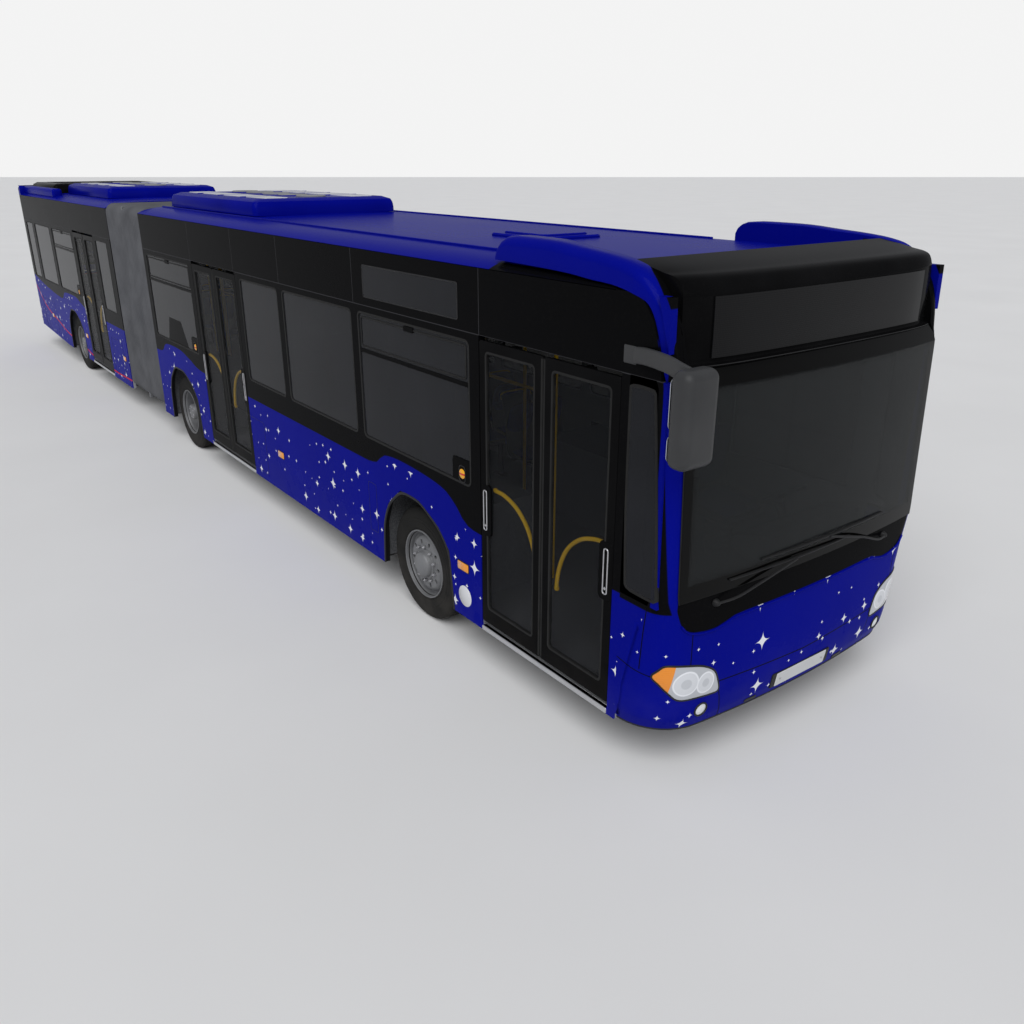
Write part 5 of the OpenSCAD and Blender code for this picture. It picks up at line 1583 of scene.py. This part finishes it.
# %% Tail plan and shell
TAIL_R, TAIL_BOW = 0.25, 0.02
TAIL_Y = HALF - TAIL_R


def on_tail(arc, z, lift=0.0):
    """The point that far from the middle round the tail (left side is positive), raised by lift."""
    arc, z = np.broadcast_arrays(np.asarray(arc, float), np.asarray(z, float))
    a = abs(arc)
    turned_by = np.clip((a - TAIL_Y) / TAIL_R, 0, np.pi / 2)
    straight = np.maximum(a - TAIL_Y - TAIL_R * np.pi / 2, 0)
    px = np.where(a > TAIL_Y, TAIL + TAIL_BOW + TAIL_R - (TAIL_R + lift) * np.cos(turned_by) + straight,
                  TAIL + TAIL_BOW * (a / TAIL_Y) ** 2 - lift)
    py = np.where(a > TAIL_Y, TAIL_Y + (TAIL_R + lift) * np.sin(turned_by), a)
    return np.stack([px, np.sign(arc) * py, z], -1)


TAIL_ARC = TAIL_Y + TAIL_R * np.pi / 2 + TAIL_SEAM - TAIL - TAIL_BOW - TAIL_R
rows = np.concatenate([[0.39, 0.395], np.linspace(0.42, 0.54, 4), [0.56], np.linspace(0.62, 1.32, 8), [1.38],
                       [1.45, 1.52, 1.56], np.linspace(1.62, 2.40, 8), [2.45],
                       np.linspace(2.52, 2.93, 6)])[:, None]
arcs = np.concatenate([np.linspace(0, 0.82, 9), np.linspace(0.86, 0.98, 4), [TAIL_Y],
                       TAIL_Y + TAIL_R * np.linspace(0.1, np.pi / 2, 12), [TAIL_ARC - 0.06, TAIL_ARC]])
arcs = np.concatenate([-arcs[:0:-1], arcs])[None]
z_mid, a_mid = (rows[1:] + rows[:-1]) / 2, abs(arcs[:, 1:] + arcs[:, :-1]) / 2
hole = ((a_mid < 0.82) & (z_mid > 0.56) & (z_mid < 1.38)) | ((a_mid < 0.98) & (z_mid > 1.56) & (z_mid < 2.45))
flank_x = TAIL + np.maximum(abs(arcs) - TAIL_Y - TAIL_R, 0)
tail_map = np.stack(np.broadcast_arrays(flank_x, rows), -1)
tail_shell = slab(on_tail(arcs, rows), 0.03, tail_map, ~hole)


def tail_paint(tree, spot):
    """Blue, with the black band reaching the corner and closing over the rear window."""
    x, y, z = split(spot)
    side_band = z.over(1.40) * x.over(TAIL + 0.20)
    back_band = z.over(1.50) * abs(y).over(1.03).flip()
    return painted(tree, x + abs(y) - HALF, z, spot, black=side_band.most(back_band) * z.over(2.944).flip())


tail_coat = finish("tail shell paint", tail_paint, **COAT)
lay_tail = lambda line, lift: on_tail(-line[:, 0], line[:, 1], lift)
bumper = tube(on_tail(np.linspace(-1.35, 1.35, 61), 0.52, 0.001), 0.012, 8)
skid = tube(on_tail(np.linspace(-1.35, 1.35, 61), 0.402, -0.004), 0.010, 8)
rear_pad = plate(round_rect((-0.30, 0.30), (1.415, 1.535), 0.015), -0.004, 0.006, lay_tail)
rear_plate = plate(round_rect((-0.26, 0.26), (1.42, 1.53), 0.010), 0.005, 0.0085, lay_tail)
marker_lamps = [crowned(circle(0.035, 24) + [y, 2.70], lay_tail, 0.0, 0.008, 4)
                for y in (-0.98, -0.86, 0.86, 0.98)]
sign_back = plate(round_rect((-0.42, 0.42), (2.56, 2.80), 0.02), 0.0, 0.006, lay_tail)
piece("tail shell", [(tail_coat, [tail_shell]), (satin, [bumper, skid, rear_pad]),
                     (blank_plate, [rear_plate]),
                     (red_lens, marker_lamps), (display, [sign_back])],
      "rear_section", ["tail_wall"], sharp=50)

# %% [markdown]
# The rear window is a thin pane over the curved wall; its square corners are hidden by a rubber seal.
# Each lamp column is one lens with four colours over its height.

# %% Rear window and tail lamps
y, z = np.linspace(-0.975, 0.975, 25)[None], np.linspace(1.565, 2.445, 9)[:, None]
rear_pane = slab(on_tail(y, z, 0.005), 0.005)
rear_seal = rim_of(round_rect((-0.985, 0.985), (1.555, 2.455), 0.05, 24),
                   ((0, -0.002), (0.004, 0.009), (0.026, 0.009), (0.030, -0.002)), lay_tail)
piece("rear screen", [(glass, [rear_pane]), (rubber, [rear_seal])], "rear_section")


def lamp_paint(tree, spot):
    """Red above and below, amber and clear rounds between, ribbed like a moulded lens."""
    x, y, z = split(spot)
    c = mix(tree, z.over(0.855), (0.50, 0.010, 0.008), (0.70, 0.72, 0.74))
    c = mix(tree, z.over(0.97), c, (0.82, 0.28, 0.012))
    c = mix(tree, z.over(1.085), c, (0.52, 0.012, 0.010))
    ribs = (z * 520.0).math("SINE")
    near = [abs(z - edge).over(0.006).flip() for edge in (0.855, 0.97, 1.085)]
    bars = near[0].most(near[1]).most(near[2])
    c = mix(tree, bars, c, (0.02, 0.02, 0.02))
    return {"colour": c, "rough": noise(spot, 30.0) * 0.08 + 0.08, "relief": ribs, "depth": 0.0005}


tail_lens = finish("tail lamp lens", lamp_paint, 0.1, Coat_Weight=1.0)
columns, cups = [], []
for y in (-1.035, 1.035):
    columns.append(crowned(round_rect((y - 0.09, y + 0.09), (0.705, 1.295), 0.045, 6), lay_tail, 0.0, 0.012,
                           6, 5))
    cups.append(rim_of(round_rect((y - 0.099, y + 0.099), (0.696, 1.304), 0.05, 6),
                       ((0, -0.002), (0.001, 0.006), (0.008, 0.009), (0.010, -0.002)), lay_tail))
piece("rear lamp columns", [(tail_lens, columns), (satin, cups)], "rear_section", ["tail_lamps"],
      sharp=50)

# %% [markdown]
# ## Engine flap
# The flap is the part of the tail shell that swings up over the engine. Its cooling slots are rows of
# shallow steps pressed into it, so its depth is a saw of the height inside two panels.

# %% Engine flap
SLOTS = (0.80, 1.27, 0.047)  # lowest, highest, step
z, a = np.linspace(0.568, 1.372, 133)[:, None], np.linspace(-0.812, 0.812, 61)[None]
inside = np.clip((0.72 - abs(a)) / 0.02, 0, 1) * np.clip((z - SLOTS[0]) / 0.01, 0, 1)
inside = inside * np.clip((SLOTS[1] - z) / 0.01, 0, 1) * np.clip(abs(a) / 0.02 - 1.5, 0, 1)
saw = ((z - SLOTS[0]) / SLOTS[2]) % 1.0
flap = slab(on_tail(a, z, 0.002 - 0.014 * inside * np.where(saw < 0.72, saw / 0.72, (1 - saw) / 0.28)), 0.028,
            np.stack(np.broadcast_arrays(0 * a + TAIL, z), -1))


def flap_paint(tree, spot):
    """Tail paint with painted shade in the air slots: the last part of each step of the saw is darkened."""
    y, z = split(spot)[1:]
    # painted shade: the last part of each step is darkened, standing in for the shade inside the slot
    slot_shade_step = ((z - SLOTS[0]) * (1 / SLOTS[2])).math("FRACT").over(0.66, 0.05)
    painted_slot_shade = slot_shade_step * z.over(SLOTS[0]) * z.over(SLOTS[1]).flip() * abs(y).over(0.035) * abs(y).over(0.71).flip()
    answer = tail_paint(tree, spot)
    answer["colour"] = mix(tree, painted_slot_shade, answer["colour"], (0.004, 0.004, 0.005))
    return answer


flap_coat = finish("flap paint", flap_paint, **COAT)
pull = [frame_of(round_rect((s * 0.55 - 0.09, s * 0.55 + 0.09), (0.625, 0.675), 0.02, 5), 0.010, 0.0, 0.009,
                 lay_tail)
        for s in (-1, 1)]
locks = [crowned(circle(0.018, 20) + [y, 0.72], lay_tail, 0.002, 0.009, 3) for y in (-0.70, 0.70)]
barrels, straps = [], []
for y in (-0.5, 0.0, 0.5):
    pin = np.stack([np.full(8, TAIL + 0.006), np.linspace(y - 0.06, y + 0.06, 8), np.full(8, 1.3765)], 1)
    barrels.append(tube(pin, 0.0036, 10))
    straps.append(soft_box((TAIL + 0.004, y - 0.05, 1.32), (TAIL + 0.012, y + 0.05, 1.377), 0.003, 3))
piece("flap skin", [(flap_coat, [flap]), (satin, pull), (steel, locks + barrels + straps)],
      "engine_flap", ["engine_flap"], sharp=35)

# %% [markdown]
# ## Tail cover
# A black hood closes the roof at the tail, with a round cap over the rear window and air slots on top.

# %% Tail cover and rear shoulders
cover_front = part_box("tail_cover")[1][0]
hood = hip((TAIL_SEAM - 0.02, -1.04), (cover_front, 1.04), 2.96, 3.165, 0.08)
slots = [flat_pad((x, -0.82), (x + 0.035, 0.82), 0.012, (3.160, 3.170), 0.004)
         for x in np.arange(TAIL_SEAM + 0.25, cover_front - 0.25, 0.10)]
plan = on_tail(np.linspace(-TAIL_ARC, TAIL_ARC, 73), 0.0)[::-1, :2]
lay_plan = lambda line, z_: np.stack([line[:, 0], line[:, 1], np.full(len(line), z_)], -1)
cap_rings = [(0, 2.93), (0, 3.035), (0.008, 3.066), (0.028, 3.088), (0.06, 3.100), (0.12, 3.103),
             (0.16, 3.103)]
if np.sum(plan[:, 0] * np.roll(plan[:, 1], -1) - plan[:, 1] * np.roll(plan[:, 0], -1)) < 0:
    plan = plan[::-1]
tail_cap = table(np.stack([lay_plan(inset(plan, d), z_) for d, z_ in cap_rings]), wrap_cols=True, cap=True)
rear_rails = soft_box((TAIL + 0.10, 1.035, 2.94), (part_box("roof_pod_rear")[0][0] + 0.42, 1.20, 3.10), 0.045,
                      7)
piece("tail hood", [(gloss, [hood]), (satin, slots), (blue, sides(rear_rails) + [tail_cap])],
      "rear_section", ["tail_cover"], sharp=50)

# %% [markdown]
# ## Seats
# City bus seats are thin moulded shells with flat cushions. The shell is a profile carried across the
# seat; each cushion is a closed crowned pillow with a seam round its edge. The crown is a formula, a
# box whose faces swell in the middle; a cloth simulation could swell it instead, and none is run here.


# %% Seat helpers
def pillow(centre, half, tilt, n=20, square=0.32):
    """A crowned pad: cos and sin raised to a small power make a soft box; tilt turns it about Y."""
    v, u = np.meshgrid(np.linspace(-np.pi / 2, np.pi / 2, n),
                       np.linspace(-np.pi, np.pi, 2 * n, endpoint=False), indexing="ij")
    power = lambda w, e: np.sign(w) * np.abs(w) ** e
    wide = power(np.cos(v), 0.55)
    a, b, c = wide * power(np.cos(u), square), wide * power(np.sin(u), square), power(np.sin(v), 0.8)
    c = c * (1 - 0.35 * np.maximum(abs(a), abs(b)) ** 4)
    P = np.stack([a * half[0], b * half[1], c * half[2]], -1)
    s, k = math.sin(tilt), math.cos(tilt)
    spin = np.array([[k, 0, s], [0, 1, 0], [-s, 0, k]])
    ring = np.stack([power(np.cos(u[0]), square) * half[0], power(np.sin(u[0]), square) * half[1], 0 * u[0]],
                    -1)
    seam = tube(ring @ spin.T * 0.995 + centre, 0.0045, 6, (0.1, 0.2, 1), True)
    return table(P @ spin.T + centre, wrap_cols=True, cap=True), seam


SEAT_LINE = spline([(0.235, 0.440), (0.225, 0.462), (0.12, 0.452), (-0.06, 0.432), (-0.165, 0.440),
                    (-0.205, 0.50),
                    (-0.235, 0.68), (-0.275, 0.88), (-0.302, 1.00), (-0.318, 1.02)], 40)


def seat(x, y0, y1, floor_z, scale=1.0):
    """Shell, cushions and seams of one seat whose cushion reaches forward from x."""
    y = np.linspace(y0 + 0.012, y1 - 0.012, 15)
    wing = ((y - (y0 + y1) / 2) / ((y1 - y0) / 2)) ** 4 * 0.022
    P = np.stack([x + SEAT_LINE[:, :1] + wing[None], y[None] + 0 * SEAT_LINE[:, :1],
                  floor_z + SEAT_LINE[:, 1:] + wing[None] * 0.6], -1)
    mid, half_w = (y0 + y1) / 2, (y1 - y0) / 2 - 0.03
    base = pillow(np.array([x + 0.025, mid, floor_z + 0.468]), (0.185, half_w, 0.026), 0.10)
    back = pillow(np.array([x - 0.222, mid, floor_z + 0.735]), (0.225, half_w, 0.022), math.radians(-76))
    grip = tube(spline([(x - 0.305, y0 + 0.03, floor_z + 0.99), (x - 0.325, y0 + 0.05, floor_z + 1.045),
                        (x - 0.330, mid, floor_z + 1.055), (x - 0.325, y1 - 0.05, floor_z + 1.045),
                        (x - 0.305, y1 - 0.03, floor_z + 0.99)], 30), 0.011, 8)
    return slab(P, 0.012), [base[0], back[0]], [base[1], back[1]], grip


def pedestal(x, y0, y1, floor_z):
    """A frame under a pair of seats: two rails across it, a slanted foot and a shoe."""
    mid = (y0 + y1) / 2
    foot = spline([(x - 0.02, mid, floor_z + 0.008), (x - 0.02, mid, floor_z + 0.12),
                   (x - 0.03, mid, floor_z + 0.42)], 12)
    rails = [tube([(x + dx, y, floor_z + dz) for y in (y0 + 0.03, mid, y1 - 0.03)], 0.016, 10)
             for dx, dz in ((0.10, 0.425), (-0.12, 0.415))]
    shoe = soft_box((x - 0.11, mid - 0.05, floor_z + 0.001), (x + 0.07, mid + 0.05, floor_z + 0.014), 0.005,
                    3)
    return [tube(foot, 0.028, 12, (1, 0, 0)), *rails, shoe]


def seat_rows(name, rows_, body, node_name, heights):
    """Pairs of seats at the given places, as one piece of shells and one of cushions."""
    shells, pads, seams, grips, frames = [], [], [], [], []
    for (x, y0, y1), h in zip(rows_, heights):
        mid = (y0 + y1) / 2
        for a, b in ((y0, mid), (mid, y1)):
            s, p, q, g = seat(x, a, b, h)
            shells.append(s)
            pads += p
            seams += q
            grips.append(g)
        frames += pedestal(x, y0, y1, h)
    piece(name + " shells", [(shell_grey, shells), (yellow, grips), (cast, frames)], body,
          [node_name], sharp=50)
    cushions = piece(name + " cushions", [(fabric, pads), (rubber, seams)], body, sharp=70)


FLOOR, PODIUM, PITCH = 0.37, 1.35, 0.78
LEFT, RIGHT, MIDDLE = (0.43, 1.18), (-1.18, -0.43), (-0.38, 0.38)
shift = FRONT - 8.9625


def rows_from(x, count, side):
    """Places of count pairs of seats, one behind the other, on that side of the aisle."""
    return [(x + PITCH * i + shift, *side) for i in range(count)]


seat_rows("front seats", rows_from(1.3625, 6, LEFT) + rows_from(3.1675, 3, RIGHT), "front_section",
          "seats_front",
          [FLOOR] * 9)
back_row = [(-8.0375 + shift, *side) for side in (LEFT, RIGHT, MIDDLE)]
seat_rows("rear seats", rows_from(-4.6275, 3, LEFT) + back_row, "rear_section", "seats_rear",
          [FLOOR] * 3 + [PODIUM] * 3)

# %% [markdown]
# ## The driver's place
# The driver sits on a sprung seat behind a wheel set low in a dark dashboard.

# %% Driver's seat and hand wheel
(sx, sy, sz), (ex, ey, ez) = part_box("driver_seat")
mid = (sy + ey) / 2
base = pillow(np.array([ex - 0.27, mid, 1.02]), (0.25, 0.225, 0.055), 0.06)
back = pillow(np.array([sx + 0.115, mid, 1.33]), (0.30, 0.215, 0.05), math.radians(-80))
head = pillow(np.array([sx + 0.065, mid, 1.60]), (0.065, 0.13, 0.04), math.radians(-84))
drum = tube(np.array([(ex - 0.28, mid, 0.56), (ex - 0.28, mid, 0.70), (ex - 0.28, mid, 0.94)]), 0.10, 24,
            (1, 0, 0))
hoop_line = circle(0.104, 20) + [ex - 0.28, mid]
ring_z = [tube(np.column_stack([hoop_line, np.full(20, z_)]), 0.010, 8, (0, 0, 1), True)
          for z_ in (0.62, 0.68, 0.74, 0.80, 0.86)]
pan = soft_box((sx + 0.10, sy + 0.02, 0.93), (ex - 0.02, ey - 0.02, 0.985), 0.025, 5)
seat_shell = slab(np.stack(np.broadcast_arrays(
    sx + 0.03 + 0.09 * np.linspace(0, 1, 12)[:, None][::-1], np.linspace(sy + 0.03, ey - 0.03, 9)[None],
    np.linspace(0.99, 1.62, 12)[:, None]), -1), 0.018)
piece("driver seat frame", [(cab_grey, [pan, seat_shell, drum]), (rubber, ring_z)], "front_section",
      ["driver_seat"], sharp=50)
pads, seams = zip(base, back, head)
driver_pads = piece("driver seat cushions", [(fabric, pads), (rubber, seams)], "front_section",
                    sharp=70)

hub = np.array([at(0.88), 0.7525, 1.19])
axis = np.array([-0.5, 0, math.cos(math.pi / 6)])
across_ = np.array([0, 1, 0])
up_ = np.cross(axis, across_)
dial = np.linspace(0, 2 * np.pi, 64, endpoint=False)


def on_wheel(r, b, h):
    """A point of the hand wheel: its radius, its angle and its height along the tilted axis."""
    way = np.cos(b)[..., None] * across_ + np.sin(b)[..., None] * up_
    return hub + r * way + np.asarray(h)[..., None] * axis


grip_ring = tube(on_wheel(0.225, dial, 0.03 + 0 * dial), 0.0145, 12, axis, True)
radii, heights = np.linspace(0.04, 0.22, 10)[:, None], np.linspace(0.0, 0.028, 10)
spokes = [tube(on_wheel(radii, np.full(10, b), heights), 0.011, 10, across_ + 0.1)
          for b in (0.35, 2.79, 4.71)]
boss_r = np.array([0.001, 0.035, 0.052, 0.056, 0.052, 0.03, 0.001])
boss_h = np.array([-0.03, -0.03, -0.015, 0.0, 0.016, 0.024, 0.026])
boss = table(np.stack([on_wheel(r, dial[::2], h + 0 * dial[::2]) for r, h in zip(boss_r, boss_h)]),
             wrap_cols=True)
piece("hand wheel", [(satin, [grip_ring, boss]), (cab_grey, spokes)],
      "steering_wheel", ["steering_wheel"], sharp=60)
print("dressed so far:", len(made))

# %% [markdown]
# ## Under the floor
# Between the rails hang air tanks, the exhaust and the shaft from the engine to the driven axle. They
# are turned shapes with domed ends, strapped to the frame.


# %% Underfloor parts
def capsule(a, b, r):
    """A tank with domed ends: its radius is a quarter ellipse over each end."""
    s = np.sin(np.linspace(-np.pi / 2, np.pi / 2, 25))
    path_ = np.array(a, float) + (np.array(b, float) - np.array(a, float)) * ((s + 1) / 2)[:, None]
    radius = r * np.maximum(1 - np.abs(s) ** 12, 0.0004) ** 0.5
    way = np.array(b, float) - np.array(a, float)
    way /= np.linalg.norm(way)
    u = np.cross(way, [0.1, 0.2, 1.0])
    u /= np.linalg.norm(u)
    w = np.cross(way, u)
    t = np.linspace(0, 2 * np.pi, 28, endpoint=False)
    P = path_[:, None] + radius[:, None, None] * (np.cos(t)[None, :, None] * u + np.sin(t)[None, :, None] * w)
    return table(P, wrap_cols=True, cap=True)


def strap(x, y, z, r):
    t = np.linspace(0, 2 * np.pi, 28, endpoint=False)
    return tube(np.stack([np.full(28, x), y + r * np.cos(t), z + r * np.sin(t)], 1), 0.006, 6, (1, 0, 0),
                True)


def underfloor(name, body, x0, x1, tanks, shaft):
    """Cross ribs, air tanks with straps, pipes, and the shaft, under one section."""
    cans = [capsule((x, y, 0.262), (x + 0.75, y, 0.262), 0.075) for x, y in tanks]
    bands = [strap(x + k, y, 0.262, 0.079) for x, y in tanks for k in (0.16, 0.58)]
    ribs = [soft_box((x, -1.16, 0.305), (x + 0.05, 1.16, 0.338), 0.008, 3) for x in np.arange(x0, x1, 0.62)]
    x, wave = np.linspace(x0, x1, 30), 0.006 * np.sin(np.linspace(0, 40, 30))
    pipes = [tube(np.stack([x, y + wave, np.full(30, 0.318)], 1), 0.008, 8)
             for y in (0.64, 0.665, -0.64, -0.68)]
    rod = [capsule(*shaft, 0.045)] if shaft else []
    piece(name, [(under, ribs), (cast, cans + rod), (steel, bands), (rubber, pipes)], body,
          sharp=50)


underfloor("front underfloor", "front_section", 0.95, 5.2,
           [(1.6, 0.78), (2.6, 0.78), (1.6, -0.78), (3.9, 0.78)], None)
underfloor("rear underfloor", "rear_section", -5.0, -2.5, [(-4.9, 0.78), (-4.0, -0.78), (-3.3, 0.5)],
           ((-7.25, 0, 0.40), (-5.95, 0, 0.38)))

# %% [markdown]
# ## Floor, light and sky
# The bus stands on a plain pale floor in soft studio light: a very broad sun from above and to the
# right, and a weaker one from ahead. The sky is white to the camera and greyer in reflections.

# %% Floor and light
floor = bpy.data.objects.new("floor", bpy.data.meshes.new("floor"))
floor.data.from_pydata([(-400, -400, 0), (400, -400, 0), (400, 400, 0), (-400, 400, 0)], [], [(0, 1, 2, 3)])
floor.data.materials.append(mottled("studio floor", (0.80, 0.80, 0.80), (0.83, 0.83, 0.83), 0.4, 0.9, 0.04))
bpy.context.scene.collection.objects.link(floor)


def sun_from(name, way, energy, angle):
    """A sun that shines from that direction: a lamp shines along its own -Z, so Z is turned to way."""
    light = bpy.data.lights.new(name, "SUN")
    light.energy, light.angle = energy, math.radians(angle)
    obj = bpy.data.objects.new(name, light)
    obj.rotation_euler = (math.atan2(math.hypot(way[0], way[1]), way[2]), 0, math.atan2(way[0], -way[1]))
    bpy.context.scene.collection.objects.link(obj)
    return obj


lights = [sun_from("soft sun", (0.42, -0.48, 0.76), 1.75, 50),
          sun_from("front fill", (13.0, -3.0, 3.5), 0.32, 50)]
world = bpy.data.worlds.new("sky")
bpy.context.scene.world = world
world.use_nodes = True
tree = world.node_tree
path = tree.nodes.new("ShaderNodeLightPath")
sky = mix(tree, Field(path.outputs["Is Camera Ray"]), (0.34, 0.345, 0.36), (0.90, 0.90, 0.90))
feed(tree.nodes["Background"].inputs["Color"], sky)
bpy.context.scene.view_settings.view_transform = "Standard"

# %% Sizes and finish
print("faces in new pieces:", sum(n for _, n in made), "largest:", max(made, key=lambda m: m[1]))
